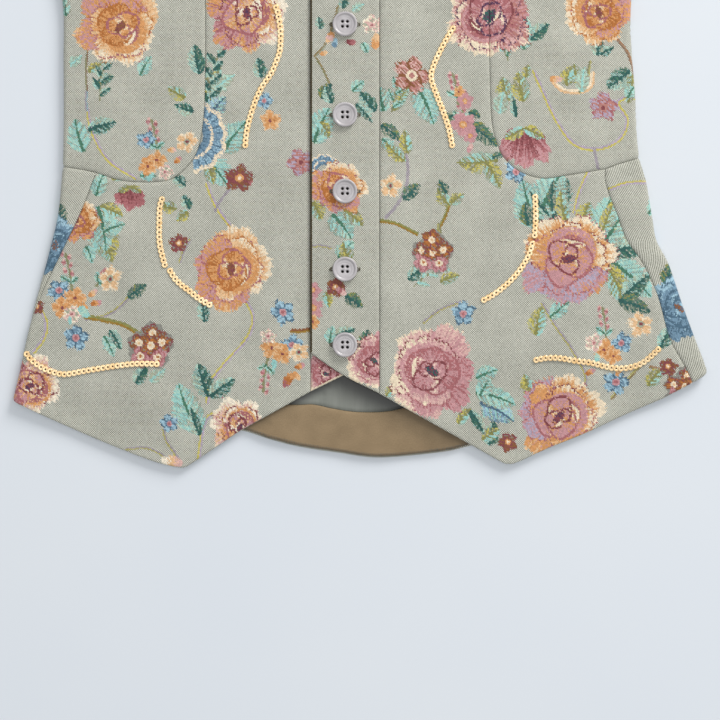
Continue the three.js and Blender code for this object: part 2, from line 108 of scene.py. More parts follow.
# The outlines below are places along the cloth from the middle line, and heights
PANEL_SEAMS = {
    "left": [
        (137.5, -5.8), (120.8, -8.1), (107.8, -4.8), (98.8, 1.8), (93.3, 10), (89.1, 26), (87.9, 53.9),
        (87.3, 100), (89, 180), (97, 290), (116, 398.5),
    ],
    "right": [
        (140.4, -8.2), (130.3, -10), (116.4, -10.3), (105.5, -8.6), (96.8, -2), (89.4, 9.1), (85.9, 27.6),
        (84.8, 54), (84.8, 100), (87, 180), (97, 290), (116, 398.5),
    ],
}
WAIST_ENDS = {"left": (4.8, 5.4), "right": (-0.6, 0)}  # the waist seam's heights at the fold and behind it
FRONT_HEMS = {
    "left": [
        (25.7, -141.2), (76.7, -169.7), (93.9, -179.4), (99, -181.2), (105, -180), (121.2, -172.6),
        (146.7, -162.2), (168.8, -151.8), (193.2, -141.3),
    ],
    "right": [
        (63.6, -161), (92.5, -180.4), (96.5, -182.7), (101, -183.3), (116.4, -179.6), (140.7, -170.3),
        (162.7, -161), (185.9, -150.6),
    ],
}
BAND_HEMS = {
    "left": [(-BAND_HALF_WIDTH, -114), (-1, -127.4), (BAND_HALF_WIDTH, -138.6)],
    "right": [(BAND_HALF_WIDTH, -116), (-1, -127.4), (-BAND_HALF_WIDTH, -137.2)],
}
HEM_MIDDLE = -128  # the height of both bands' hems at the middle line
BACK_HEM = [
    (-185, -146), (-130, -152.5), (-95, -156.5), (-63.6, -160.8), (-45, -166.5), (-27.3, -170.9),
    (-3, -174.6), (21.2, -177.4), (57.6, -174.2), (75.8, -170.3), (120, -158.5), (165, -143.5), (200, -131.5),
]
FACING_TOP = [
    (-195, -124), (-120, -135), (-60, -143.5), (-31, -145.4), (-19.6, -145.2), (-8, -147.6), (6, -149.7),
    (23.3, -149.7), (36.1, -147.2), (60, -141), (120, -129), (205, -107),
]
FACING_ENDS = {"left": -122, "right": -140}
NECK_POINT = (78, 408)
SHOULDER_TIP = (158, 388)
NECKLINE = [(-BAND_HALF_WIDTH, 141), (0, 168), (BAND_HALF_WIDTH, 203), (50, 288), (70, 363), NECK_POINT]
BACK_NECK = [(64, 397.5), (40, 389.5), (14, 386)]
FRONT_ARMHOLE = [(150, 352), (144, 312), (143, 275), (149, 240), (165, 213), (187, 198)]
BACK_ARMHOLE = [(152, 352), (148, 312), (148, 272), (155, 236), (170, 211), (189, 198)]
LINING_YS = range(-100, 180, 24)  # heights of the points along the lining's sides
LINING_AT_ARMHOLE, LINING_AT_SHOULDER, LINING_AT_NECK = 4, 7, 1  # how far the lining stays back

# Ridges and troughs in the fronts: the middle of each, its angle, length, width and height
FOLDS = [
    (118, -62, 62, 120, 20, 0.8), (62, -95, 38, 90, 16, -0.6), (150, 42, 14, 70, 13, 0.6),
    (128, 92, -28, 90, 15, -0.5), (60, 120, 66, 130, 22, 0.5), (-112, -78, -58, 110, 19, 0.7),
    (-66, -112, -35, 80, 15, -0.6), (-136, 36, -12, 80, 14, 0.6), (-118, 104, 30, 90, 16, -0.5),
    (-62, 132, -62, 120, 20, 0.6), (-120, 262, -72, 120, 18, 0.6), (118, 250, 75, 130, 18, 0.6),
]
CREASE_BOW = 0.1  # how far a ridge or trough bows, for its length
FLAT_SHARE = 0.8  # of the half width, within which they have their full height
FOLDS_HELD, CREASES_HELD = 1, 0.6  # how much of them the hem flattens
# Finer creases that only show from close by
CREASES = [
    (-150, 14, 24, 60, 5, 0.81), (-128, 28, 38, 54, 6, -0.72), (-104, 60, 74, 60, 6, 0.54),
    (-158, 66, -20, 40, 6, 0.63), (-150, -32, -28, 60, 7, 0.72), (-118, -26, -12, 50, 6, -0.54),
    (-58, -40, 80, 70, 8, -0.54), (-46, -98, -70, 70, 8, 0.63), (-128, -118, 40, 60, 8, 0.72),
    (-90, -140, -24, 50, 7, -0.63), (154, 16, -22, 60, 6, 0.81), (126, 36, -44, 54, 6, -0.63),
    (108, 84, 80, 70, 7, 0.54), (156, 74, 16, 44, 6, 0.63), (160, -36, 34, 60, 7, 0.72),
    (112, -22, 10, 56, 6, -0.54), (56, -30, 84, 90, 8, 0.54), (48, -86, 66, 70, 8, -0.63),
    (128, -110, -38, 70, 9, 0.72), (88, -136, 30, 54, 7, -0.63), (190, -96, 60, 60, 7, 0.54),
    (-92, 176, -66, 80, 8, 0.72), (-140, 170, 24, 60, 7, 0.9), (-170, 190, 50, 44, 6, -0.72),
    (-70, 250, -74, 90, 8, -0.63), (-126, 330, 64, 80, 8, 0.72), (94, 180, 68, 80, 8, 0.72),
    (140, 168, -26, 60, 7, 0.9), (172, 188, -52, 44, 6, -0.72), (66, 262, 76, 90, 8, -0.63),
    (124, 326, -66, 80, 8, 0.72), (150, 290, 84, 60, 7, 0.63),
]


def smooth(low, high, value):
    share = np.clip((np.asarray(value, float) - low) / (high - low), 0, 1)
    return share * share * (3 - 2 * share)


def cos_sin(degrees):
    return math.cos(math.radians(degrees)), math.sin(math.radians(degrees))


def along(table, at):
    """The value at each place, on a smooth curve through the table's rows of place and value."""
    keys, values = np.array(sorted(table), float).T
    at = np.asarray(at, float)
    i = np.clip(np.searchsorted(keys, at, side="right") - 1, 0, len(keys) - 2)
    span = np.diff(keys)[i]
    slopes = np.diff(values) / np.diff(keys)
    ends = np.concatenate([slopes[:1], (slopes[:-1] + slopes[1:]) / 2, slopes[-1:]])
    t = np.clip((at - keys[i]) / span, 0, 1)
    curve = (1 + 2 * t) * (1 - t) ** 2 * values[i] + t * t * (3 - 2 * t) * values[i + 1]
    return curve + span * (t * (1 - t) ** 2 * ends[i] - t * t * (1 - t) * ends[i + 1])


# ------------------------------------------------
# The flattened body that the pieces lie on
# ------------------------------------------------
def fold_start(c, y):
    """Where the flat of a side ends and its fold begins, on the side of c."""
    return np.where(np.asarray(c) < 0, along(SIDES["right"], y), along(SIDES["left"], y)) - FOLD_RADIUS


def hem_table(side):
    seam = BAND_HEMS[side][2][1]
    return [(0, HEM_MIDDLE), (BAND_HALF_WIDTH, seam), *FRONT_HEMS[side], SIDES[side][1][::-1]]


def creased(x, y, table):
    """The height of a table's ridges and troughs."""
    z = np.zeros(np.shape(x))
    for at_x, at_y, angle, length, width, height in table:
        c, s = cos_sin(angle)
        dx, dy = x - at_x, y - at_y
        run = (dx * c + dy * s) / (length / 2)
        bow = (dy * c - dx * s) - CREASE_BOW * length * run * run / 4
        z += height * np.exp(-np.minimum(run ** 4 + (bow / width) ** 2, 50))
    return z


def front_top(x, y):
    """Height of the fronts' outer face."""
    share = np.abs(x) / fold_start(x, y)
    inside = 1 - smooth(FLAT_SHARE, 1, share)
    hem = np.where(x < 0, along(hem_table("right"), np.abs(x)), along(hem_table("left"), np.abs(x)))
    near_hem = 1 - smooth(0, HEM_DROP_REACH, y - hem)
    past_back = 1 - smooth(0, POINT_DROP_REACH, y - along(BACK_HEM, x))
    z = SIDE_HEIGHT + CROWN * (1 - share ** 2) * smooth(-1, 0.6, 1 - share)
    z = z + inside * (1 - FOLDS_HELD * near_hem) * creased(x, y, FOLDS)
    z = z + inside * (1 - CREASES_HELD * near_hem) * creased(x, y, CREASES)
    z = z - inside * (HEM_DROP * near_hem + POINT_DROP * past_back)
    slope = (NECK_POINT[1] - SHOULDER_TIP[1]) / (SHOULDER_TIP[0] - NECK_POINT[0])
    shoulder = NECK_POINT[1] - slope * (np.abs(x) - NECK_POINT[0])
    return SHOULDER_TOP + (z - SHOULDER_TOP) * smooth(0, SHOULDER_REACH, shoulder - y)


def band_top(x, y):
    return front_top(x, y) + LAP


def beside_band(x, y):
    return front_top(x, y) + (LAP - SEAM_GAP) * (1 - smooth(BAND_HALF_WIDTH, STEP_END, x))


def round_fold(c, y, t, flat_z, far_z, up):
    """Cloth laid flat to the fold, round it and on along the other face. t is the depth into the cloth."""
    start = fold_start(c, y)
    past = np.abs(c) - start
    turned = np.clip(past / FOLD_RADIUS, 0, math.pi)
    beyond = np.maximum(past - math.pi * FOLD_RADIUS, 0)
    r = FOLD_RADIUS - t
    x = np.where(past <= 0, c, np.sign(c) * (start + r * np.sin(turned) - beyond))
    z = np.where(past <= 0, flat_z(x, y), FOLD_RADIUS + up * r * np.cos(turned))
    return x, y, np.where(beyond > 0, far_z(x, y), z)


def lay_on_front(top):
    return lambda c, y, t: round_fold(c, y, t, lambda x, y: top(x, y) - t, lambda x, y: t + 0 * x, 1)


def lay_on_back(c, y, t):
    return round_fold(c, y, t, lambda x, y: t + 0 * x, lambda x, y: front_top(x, y) - t, -1)


def lay_inside(bottom, thickness):
    return lambda c, y, t: (c, y, bottom + thickness - t + inside_ripples(c, y))


RIPPLE_HEIGHT = 0.5
# Half widths and heights where the ripples start and where they are at full height
RIPPLES_FROM, RIPPLES_FULL = (62, -128), (40, -138)


def inside_ripples(x, y):
    """The lining's soft ripples, which only rise where no front lies on it."""
    wide, high = zip(RIPPLES_FROM, RIPPLES_FULL)
    clear = smooth(*high, y) * smooth(*wide, np.abs(x))
    return RIPPLE_HEIGHT * clear * (np.sin(x / 9 + 0.6 * np.sin(y / 7)) * 0.5 + 0.5)


# ------------------------------------------------
# Outlines of the pieces. A run is (kind, points), where kind says whether a seam or a free edge follows it.
# ------------------------------------------------
SEAM, EDGE = 0, 1
OUTLINE_STEP = 2.2
SHORTEST_EDGE = 0.05
SHARPEST_CORNER = 0.8  # the least length that a corner's two unit steps count as, which holds its point back
SEAM_STEP = 6
WAIST_BOW = 0.4


def smooth_line(points, step):
    """Points at most a step apart on a smooth curve through the given ones."""
    ends = [2 * points[0] - points[1], *points, 2 * points[-1] - points[-2]]
    out = []
    for a, b, c, d in zip(ends, ends[1:], ends[2:], ends[3:]):
        count = max(1, math.ceil(np.hypot(*(c - b)) / step))
        for t in np.arange(count) / count:
            out.append(0.5 * (2 * b + (c - a) * t + (2 * a - 5 * b + 4 * c - d) * t ** 2
                              + (3 * b - a - 3 * c + d) * t ** 3))
    return np.array(out + [points[-1]])


def outline(*runs):
    """A closed outline through the runs, with straight lines between them, and its kinds."""
    points, kinds = [], []
    for kind, run in runs:
        run = np.array(run, float).reshape(-1, 2)
        dense = smooth_line(run, OUTLINE_STEP) if len(run) > 2 else run
        points.append(dense)
        kinds += [kind] * len(dense)
    loop = np.vstack(points)
    out, out_kinds = [], []
    for i, (a, b) in enumerate(zip(loop, np.roll(loop, -1, axis=0))):
        count = max(1, math.ceil(np.hypot(*(b - a)) / OUTLINE_STEP))
        if np.hypot(*(b - a)) < SHORTEST_EDGE:
            continue
        out += [a + (b - a) * k / count for k in range(count)]
        out_kinds += [kinds[i]] * count
    out, out_kinds = np.array(out), np.array(out_kinds)
    if signed_area(out) < 0:
        return out[::-1], np.roll(out_kinds[::-1], -1)
    return out, out_kinds


def signed_area(loop):
    x, y = loop.T
    return 0.5 * float(np.sum(x * np.roll(y, -1) - np.roll(x, -1) * y))


def moved_in(loop, distance):
    """The loop's points moved to its inside."""
    before, after = loop - np.roll(loop, 1, axis=0), np.roll(loop, -1, axis=0) - loop
    before /= np.hypot(*before.T)[:, None]
    after /= np.hypot(*after.T)[:, None]
    mean = before + after
    length = np.maximum(np.hypot(*mean.T), SHARPEST_CORNER)[:, None]
    return loop + distance * np.stack([-mean[:, 1], mean[:, 0]], 1) / length * (2 / length)


def turned_round(run):
    return [(-x, y) for x, y in run]


def back_again(runs):
    """The right side's runs, from its last point to its first."""
    return [(kind, turned_round(run)[::-1]) for kind, run in runs[::-1]]


def on_side(side, runs):
    return runs if side == "left" else [(kind, turned_round(run)) for kind, run in runs]


def side_seam(side, towards, low, high, onto):
    """The side seam from low to high, as places along the cloth from the front's or the back's middle."""
    ys = np.linspace(low, high, max(2, math.ceil((high - low) / SEAM_STEP) + 1))
    starts = fold_start(np.full(len(ys), SIGN[side]), ys)
    return [(float(s) + QUARTER_FOLD + towards * float(onto(y)), float(y)) for s, y in zip(starts, ys)]


FRONT, BACK = -1, 1


def waist_end(side, towards):
    """The end of the side panel's waist seam, over the fold to the upper side seam."""
    at_fold, behind = WAIST_ENDS[side]
    top_y, top_onto = SIDE_SEAMS[side][-1]
    steps = [(top_onto, top_y), (2 * top_onto / 3, (2 * top_y + at_fold) / 3 + WAIST_BOW), (0, at_fold),
             (UPPER_SEAM_ONTO, behind)]
    return [(float(fold_start(SIGN[side], y)) + QUARTER_FOLD + towards * onto, y) for onto, y in steps]


def hem_corner(side):
    """The hem's corner at the fold, where one piece has it."""
    fold_y, y = HEM_CORNERS[side]
    return [(EDGE, [(float(fold_start(SIGN[side], fold_y)) + QUARTER_FOLD, y)])]


def upper_seam(side, towards):
    low = WAIST_ENDS[side][1] + UPPER_SEAM_START
    return side_seam(side, towards, low, UNDERARM_Y, lambda y: UPPER_SEAM_ONTO)


def lower_seam(side, towards):
    low, high = SIDE_SEAMS[side][0][0], SIDE_SEAMS[side][-1][0]
    return side_seam(side, towards, low, high, lambda y: along(SIDE_SEAMS[side], y))


def side_panel(side):
    return outline(*on_side(side, [
        (SEAM, waist_end(side, FRONT)[::-1]), (SEAM, PANEL_SEAMS[side]), (EDGE, [SHOULDER_TIP]),
        (EDGE, FRONT_ARMHOLE), (SEAM, upper_seam(side, FRONT)[::-1]),
    ]))


def centre_panel(side):
    corner = hem_corner(side) if side == "right" else []
    return outline(*on_side(side, [
        (EDGE, [(BAND_HALF_WIDTH, BAND_HEMS[side][2][1])]), (EDGE, FRONT_HEMS[side]), *corner,
        (SEAM, lower_seam(side, FRONT)), (SEAM, PANEL_SEAMS[side]), (EDGE, NECKLINE[:1:-1]),
        (SEAM, [NECKLINE[2]]),
    ]))


def band(side):
    neck = NECKLINE[:3] if side == "left" else turned_round(NECKLINE[:3])
    return outline((EDGE, BAND_HEMS[side]), (SEAM, [BAND_HEMS[side][2]]), (EDGE, neck[::-1]))


def back_side(side):
    corner = hem_corner(side) if side == "left" else []
    return [
        *corner, (SEAM, lower_seam(side, BACK)), (SEAM, waist_end(side, BACK)[1:]),
        (SEAM, upper_seam(side, BACK)), (EDGE, BACK_ARMHOLE[::-1]), (SEAM, [SHOULDER_TIP]),
        (EDGE, [NECK_POINT]), (EDGE, BACK_NECK),
    ]


def back():
    return outline((EDGE, BACK_HEM), *back_side("left"), *back_again(back_side("right")))


def facing_top():
    most = fold_start(np.array(FACING_TOP)[:, 0], np.array(FACING_TOP)[:, 1]) - 1
    return [(float(np.clip(x, -m, m)), y) for (x, y), m in zip(FACING_TOP, most)]


def lining_side(side):
    tops = [(x - 1, y - LINING_AT_SHOULDER) for x, y in (SHOULDER_TIP, NECK_POINT)]
    return [
        (EDGE, [(float(fold_start(SIGN[side], y)) - 1, y) for y in LINING_YS]),
        (EDGE, [(x - LINING_AT_ARMHOLE, y) for x, y in BACK_ARMHOLE[::-1]]),
        (EDGE, tops[:1]), (EDGE, tops[1:]), (EDGE, [(x, y - LINING_AT_NECK) for x, y in BACK_NECK]),
    ]


def lining():
    return outline((SEAM, facing_top()), *lining_side("left"), *back_again(lining_side("right")))


def facing():
    ends = {side: (SIGN[side] * (float(fold_start(SIGN[side], y)) - 1), y)
            for side, y in FACING_ENDS.items()}
    return outline((EDGE, [(x, y + 1) for x, y in BACK_HEM]), (EDGE, [ends["left"]]),
                   (SEAM, facing_top()[::-1]), (EDGE, [ends["right"]]))


# ------------------------------------------------
# The jacquard's pattern, charted: motifs on a chart whose squares are CHART millimetres wide.
# Columns count to the right and rows down, and angles are in degrees, anticlockwise from the columns.
# ------------------------------------------------
CHART = 1 / 1.65
CHART_MIDDLE = (345, 165)  # the square at the middle line, at the waist

YARNS = {
    "cream": "EDDCC0", "pale": "F3E8D3", "orange": "D59962", "apricot": "E3BB8F", "rust": "B5713A",
    "brown": "8A5A3B", "mauve": "B98078", "pink": "C69396", "blush": "DCB4AC", "rose": "AA6A6D",
    "wine": "86484C", "plum": "5B3B55", "pine": "33605A", "fern": "4B7A63", "aqua": "98CCC6",
    "mint": "B3D3C2", "olive": "8C8B52", "lime": "C9BE62", "slate": "4F6C80", "sky": "A0C2D2",
    "steel": "7392A8", "lilac": "B3A5B8", "gold": "9A7A33", "grey": "8D8C84", "sage": "A9AD97",
    "umber": "4A4028",
}


def linear(code):
    """A colour such as "EDDCC0" as linear red, green and blue."""
    srgb = np.array([int(code[i:i + 2], 16) for i in (0, 2, 4)]) / 255
    return np.where(srgb < 0.04045, srgb / 12.92, ((srgb + 0.055) / 1.055) ** 2.4)


YARN = {name: linear(code) for name, code in YARNS.items()}


def yarns(names):
    return np.array([YARN[name] for name in names.split()])


# A rose's yarns from the foot to the tip of its lit petals and of its shaded ones, its lines and its pit
ROSE_YARNS = {
    "orange": ("rust orange orange apricot apricot cream", "rose orange pink orange apricot", "rust rose",
               "wine brown"),
    "peach": ("pink orange apricot blush cream pale", "rose rose pink orange apricot", "rose wine",
              "plum wine"),
    "pink": ("rose pink pink blush blush cream", "rose rose pink pink blush", "rose wine", "pine plum wine"),
    "mauve": ("rose pink mauve blush cream", "wine rose mauve pink blush", "wine plum", "plum pine"),
    "coral": ("pink pink orange orange apricot cream", "rose pink lilac pink orange", "rose wine",
              "plum wine"),
    "steel": ("slate steel steel steel sky sky", "steel slate steel sky", "slate slate", "slate brown"),
}


def hashed(a, b, seed=0):
    """A fixed random number from 0 to 1 for each pair of whole numbers."""
    mixed = (a.astype(np.int64) * 73856093) ^ (b.astype(np.int64) * 19349663) ^ (seed * 83492791 + 374761)
    mixed = (mixed & 0xFFFFFFFF) * 2654435761 & 0xFFFFFFFF
    mixed = (mixed ^ (mixed >> 15)) * 2246822519 & 0xFFFFFFFF
    return ((mixed ^ (mixed >> 13)) & 0xFFFF) / 65535


SHEER = 0.5  # a cover at which every other thread shows the ground
GRAINS = 1.15  # grains of yarn to each square of the chart


class Paint:
    """Yarn colours on places of the cloth, which are given in chart squares."""

    def __init__(self, places):
        self.places = places
        self.colour = np.zeros((len(places), 3))
        self.cover = np.zeros(len(places))
        thread = np.floor(places * GRAINS + 0.5)
        self.grain = hashed(thread[:, 0], thread[:, 1])

    def near(self, col, row, reach, turn=0.0):
        """The places within reach, and their steps along and across a direction."""
        off = self.places - (col, row)
        found = np.flatnonzero((np.abs(off[:, 0]) < reach) & (np.abs(off[:, 1]) < reach))
        x, y = off[found, 0], -off[found, 1]
        c, s = cos_sin(turn)
        return found, x * c + y * s, y * c - x * s

    def put(self, found, inside, colours, cover=1.0):
        """Weave the places inside, in one colour or in a row of colours for each place found."""
        chosen = found[inside]
        self.colour[chosen] = colours[inside] if np.ndim(colours) == 2 else colours
        self.cover[chosen] = cover


def shade(colours, tone):
    """The yarn for each tone, from the first colour at 0 to the last at 1."""
    return colours[np.clip((tone * len(colours)).astype(int), 0, len(colours) - 1)]


def petal(paint, col, row, turn, length, width, colours, line, seed, pale=0.0):
    """One broad petal out from its foot. Its tip is a saw edge, and pale makes the tip lighter."""
    found, u, v = paint.near(col, row, length * 1.3 + 2, turn)
    grain = paint.grain[found]
    fan = np.floor(np.degrees(np.arctan2(v, u + 0.25 * length)) * length / 70)
    streak = hashed(fan, fan * 0 + 7, seed)
    around = np.arctan2(v, u - 0.56 * length)
    away = np.hypot((u - 0.56 * length) / (0.47 * length), v / (0.5 * width))
    edge = 1 + 0.07 * np.sin(3 * around + seed) + 0.05 * np.sin(7 * around + 2 * seed) + 0.2 * (streak - 0.5)
    inside = away < edge
    under = (away < edge + 3.4 / length) & ~inside & (paint.cover[found] > 0)
    paint.put(found, under & (grain > 0.35), line)
    tip = np.clip((away - 0.35) / 0.65, 0, 1) * np.clip(1.6 * u / length - 0.5, 0, 1)
    tone = 0.66 * u / length + 0.4 * (streak - 0.5) + 0.2 * (grain - 0.5) + pale * tip
    paint.put(found, inside, shade(colours, tone))


def curl(paint, col, row, reach, turn, colours, line, seed):
    """A petal curled around the heart: dark inside, with a pale lip on the side it turns to."""
    found, u, v = paint.near(col, row, reach * 1.4 + 2, turn)
    grain = paint.grain[found]
    angle = np.arctan2(v, u)
    streak = hashed(np.floor(angle * reach / 1.5), 0 * u + 3, seed)
    away = np.hypot(u, v / 0.84) / reach
    edge = 1 + 0.06 * np.sin(3 * angle + seed) + 0.04 * np.sin(5 * angle + 2 * seed)
    inside = away < edge
    under = ~inside & (away < edge + 2.6 / reach) & (np.cos(angle) < 0.55)
    paint.put(found, under & (grain > 0.15), line)
    tone = 0.4 + 0.3 * away * np.cos(angle) + 0.4 * (streak - 0.5) + 0.2 * (grain - 0.5)
    paint.put(found, inside, shade(colours, tone))
    lip = inside & (away > edge - (2.6 + 2.6 * streak) / reach) & (np.cos(angle) > -0.3)
    paint.put(found, lip, shade(colours, 0.62 + 0.3 * grain + 0.2 * np.cos(angle)))


# The rings of a rose's petals: how many, how far out, how wide and how pale their tips are
ROSE_RINGS = [
    dict(count=7, reach=1.0, width=0.86, pale=0.34), dict(count=5, reach=0.78, width=0.74, pale=0.24),
]
# The curled petals of a rose's heart: how wide, how far from the middle, and how far round from the last
ROSE_CURLS = [(0.5, 0.06, 0), (0.37, 0.1, 100), (0.29, 0.16, 150), (0.2, 0.1, 130), (0.14, 0.12, 160)]


def rose(paint, col, row, size, kind, light, seed):
    """A full rose: rings of broad petals, pale on the side of the light, and a heart of curled ones."""
    draw = np.random.RandomState(seed)
    lit, shaded, dark, deep = (yarns(names) for names in ROSE_YARNS[kind])
    for ring in ROSE_RINGS:
        step = 360 / ring["count"]
        first = draw.uniform(0, step)
        for k in draw.permutation(ring["count"]):
            angle = first + step * k + draw.uniform(-14, 14)
            facing = math.cos(math.radians(angle - light))
            length, width = size * ring["reach"] * draw.uniform(0.82, 1.08), size * ring["width"]
            petal(paint, col, row, angle, length, width * draw.uniform(0.85, 1.15),
                  shaded if facing < draw.uniform(-0.8, 0.2) else lit, dark[int(draw.randint(2))],
                  int(draw.randint(1000)), ring["pale"] * (0.5 + facing))
    turn = light + draw.uniform(-30, 30)
    below, u, v = paint.near(col, row, size * 0.7, turn)
    depth = np.hypot(u - 0.16 * size, v) / (0.5 * size)
    heart = np.vstack([dark, shaded[:2], lit[1:3]])
    paint.put(below, (depth < 1.08) & (paint.grain[below] > 0.2), shade(heart, depth - 0.2))
    for width, off, swing in ROSE_CURLS:
        turn += swing
        c, s = cos_sin(turn)
        curl(paint, col - off * size * c, row + off * size * s, size * width, turn + draw.uniform(-25, 25),
             lit, dark[int(width < 0.3)], int(draw.randint(1000)))
    pit, u, v = paint.near(col, row, size * 0.24, draw.uniform(0, 180))
    ragged = np.hypot(u / 0.16, v / 0.09) / size < 0.8 + 0.5 * paint.grain[pit]
    paint.put(pit, ragged, shade(deep, paint.grain[pit]))


# Small flowers: yarns of the petals from the middle out, the lines between them, the ring and the dot
FLOWER_YARNS = {
    "blue": ("slate steel sky sky", "slate", "pink", "rose"),
    "orange": ("rust orange orange apricot", "apricot", "orange", "wine"),
    "apricot": ("orange apricot apricot cream", "cream", "sage", "wine"),
    "blush": ("blush sage blush cream", "pale", "blush", "rose"),
    "wine": ("wine wine brown grey", "wine", "orange", "cream"),
    "mauve": ("wine mauve lilac mauve", "rose", "mauve", "wine"),
    "pink": ("rose pink pink pink", "pink", "orange", "apricot"),
    "brownpink": ("wine brown mauve blush mauve", "brown", "cream", "mauve"),
    "gold": ("rust rust brown grey", "wine", "cream", "apricot"),
    "rosy": ("rust rose pink pink", "rose", "cream", "rust"),
}
FLOWER_PETALS = 5


def flower(paint, col, row, size, kind, turn):
    """A small open flower of uneven petals."""
    names, line, ring, dot = FLOWER_YARNS[kind]
    found, u, v = paint.near(col, row, size * 1.4, turn)
    grain = paint.grain[found]
    seed = int(7 * col + row)
    angle = np.arctan2(v, u)
    which = np.floor((angle + math.pi) / math.tau * FLOWER_PETALS + 0.5) % FLOWER_PETALS
    reach = 0.86 + 0.3 * hashed(which, 0 * u, seed)
    away = np.hypot(u, v) / (size * reach)
    lobe = np.abs(np.cos(FLOWER_PETALS * angle / 2))
    edge = 0.64 + 0.38 * lobe ** 0.6
    inside = away < edge * (0.9 + 0.2 * grain)
    hatch = hashed(np.floor((u + v) / 1.4), which, seed)
    paint.put(found, inside, shade(yarns(names), 0.1 + 0.62 * away / edge + 0.5 * (hatch - 0.35)))
    paint.put(found, inside & (lobe < 0.34) & (away > 0.25) & (grain > 0.15), YARN[line])
    paint.put(found, inside & (away > edge * 0.8) & (hatch > 0.55), YARN[line])
    paint.put(found, away < 0.3, YARN[ring])
    paint.put(found, away < 0.15, YARN[dot])


# The small flowers of a hydrangea's head: how far right and up of its middle, and which yarns
FLORETS = [(0.12, 0.58, "gold"), (-0.5, 0.12, "gold"), (0.56, 0.14, "gold"), (-0.42, -0.46, "rosy"),
           (0.34, -0.5, "rosy"), (0.02, 0.02, "gold")]


def hydrangea(paint, col, row, size, seed):
    """A head of small brown and pink flowers with cream eyes, edged with grey."""
    for right, up, _ in FLORETS:
        found, u, v = paint.near(col + right * size, row - up * size, size * 0.8)
        edge = 0.52 + 0.04 * np.cos(6 * np.arctan2(v, u) + seed)
        paint.put(found, np.hypot(u, v) < size * edge, YARN["grey"])
    for k, (right, up, kind) in enumerate(FLORETS):
        x, y = col + right * size, row - up * size
        flower(paint, x, y, size * 0.46, kind, 40 * k + seed)
        found, u, v = paint.near(x, y, size * 0.3, 70 * k)
        eye = (np.abs(np.hypot(u, v) - 0.15 * size) < 0.9) & (u > -0.1 * size)
        paint.put(found, eye & (paint.grain[found] > 0.2), YARN["cream"])


# Leaves: yarns of the upper half and the lower one, the midrib and the barbs along it
LEAF_YARNS = {
    "aqua": ("aqua mint aqua", "mint aqua sage", "fern", "aqua"),
    "pine": ("aqua mint sage", "pine fern aqua", "pine", "pine"),
    "olive": ("olive lime sage", "aqua mint sage", "olive", "olive"),
    "dark": ("pine fern olive", "pine sage fern", "pine", "pine"),
    "pale": ("mint sage mint", "sage mint sage", "aqua", "mint"),
    "sky": ("sky mint sky", "sky steel mint", "slate", "aqua"),
}
LEAF_LENGTH, LEAF_WIDTH = 1.15, 1.5  # for the lengths and widths in the tables


def leaf(paint, col, row, length, width, turn, kind):
    """A leaf from its stalk: blades hatched on a slant with bare gaps, a jagged midrib and barbs."""
    upper, lower, rib, barb = LEAF_YARNS[kind]
    length, width = LEAF_LENGTH * length, LEAF_WIDTH * width
    found, u, v = paint.near(col, row, length * 1.1 + 2, turn)
    grain = paint.grain[found]
    s = np.clip(u / length, 0, 1)
    v = v - 0.14 * length * s * (1 - s)
    hatch = np.floor((u - 0.9 * np.abs(v)) / 1.7)
    tooth = hashed(hatch, np.sign(v) + 5, int(col + 3 * row))
    half = width * 0.5 * np.sin(math.pi * s ** 0.8) ** 0.7 * (0.82 + 0.36 * tooth)
    inside = (u > 0) & (u < length) & (np.abs(v) < half)
    tone = np.clip(0.75 * tooth + 0.5 * (grain - 0.3), 0, 0.99)
    colours = np.where((v > 0)[:, None], shade(yarns(upper), tone), shade(yarns(lower), tone))
    sheer = (v < 0) ^ (tooth < 0.4)
    paint.put(found, inside & ~sheer, colours)
    paint.put(found, inside & sheer & (grain > 0.08), colours, SHEER)
    barbs = inside & (hatch % 3 == 0) & (np.abs(v) < half * (0.35 + 0.6 * tooth)) & (v < 0.15 * width)
    paint.put(found, barbs & (grain > 0.15), YARN[barb])
    midrib = np.abs(v) < (0.5 + 0.06 * width * (1 - s)) * (0.6 + 0.8 * tooth)
    paint.put(found, inside & midrib, YARN[rib])


FULL_STEM = 1.6  # stems thinner than this are sheer


def stroke(paint, points, near_yarn, far_yarn, thick):
    """A stem along a smooth line: the near yarn lies below a line that is drawn to the right."""
    line = smooth_line(np.array(points, float), 1.2)
    low, high = line.min(0) - 3, line.max(0) + 3
    found = np.flatnonzero(np.all((paint.places > low) & (paint.places < high), axis=1))
    places = paint.places[found]
    best = np.full(len(found), 1e9)
    side = np.zeros(len(found))
    for a, b in zip(line[:-1], line[1:]):
        step = b - a
        t = np.clip(((places - a) @ step) / (step @ step), 0, 1)
        off = places - a - t[:, None] * step
        away = np.hypot(off[:, 0], off[:, 1])
        closer = away < best
        best[closer] = away[closer]
        side[closer] = (step[0] * off[:, 1] - step[1] * off[:, 0])[closer]
    grain = paint.grain[found]
    inside = best < thick * (0.95 + 0.25 * grain)
    colours = np.where((side > 0)[:, None], YARN[near_yarn], YARN[far_yarn])
    paint.put(found, inside, colours, SHEER if thick < FULL_STEM else 1.0)


def edge_line(paint, points, yarn, reach):
    """A plain line within reach of a straight edge through two points."""
    a, b = np.array(points, float)
    step = (b - a) / np.hypot(*(b - a))
    away = np.abs((paint.places - a) @ (-step[1], step[0]))
    found = np.flatnonzero(away < reach)
    paint.put(found, np.ones(len(found), bool), YARN[yarn])


def from_stalk(col, row, turn):
    """A function from steps along and across a stem to the chart's columns and rows."""
    c, s = cos_sin(turn)
    return lambda u, v: (col + u * c - v * s, row - (u * s + v * c))


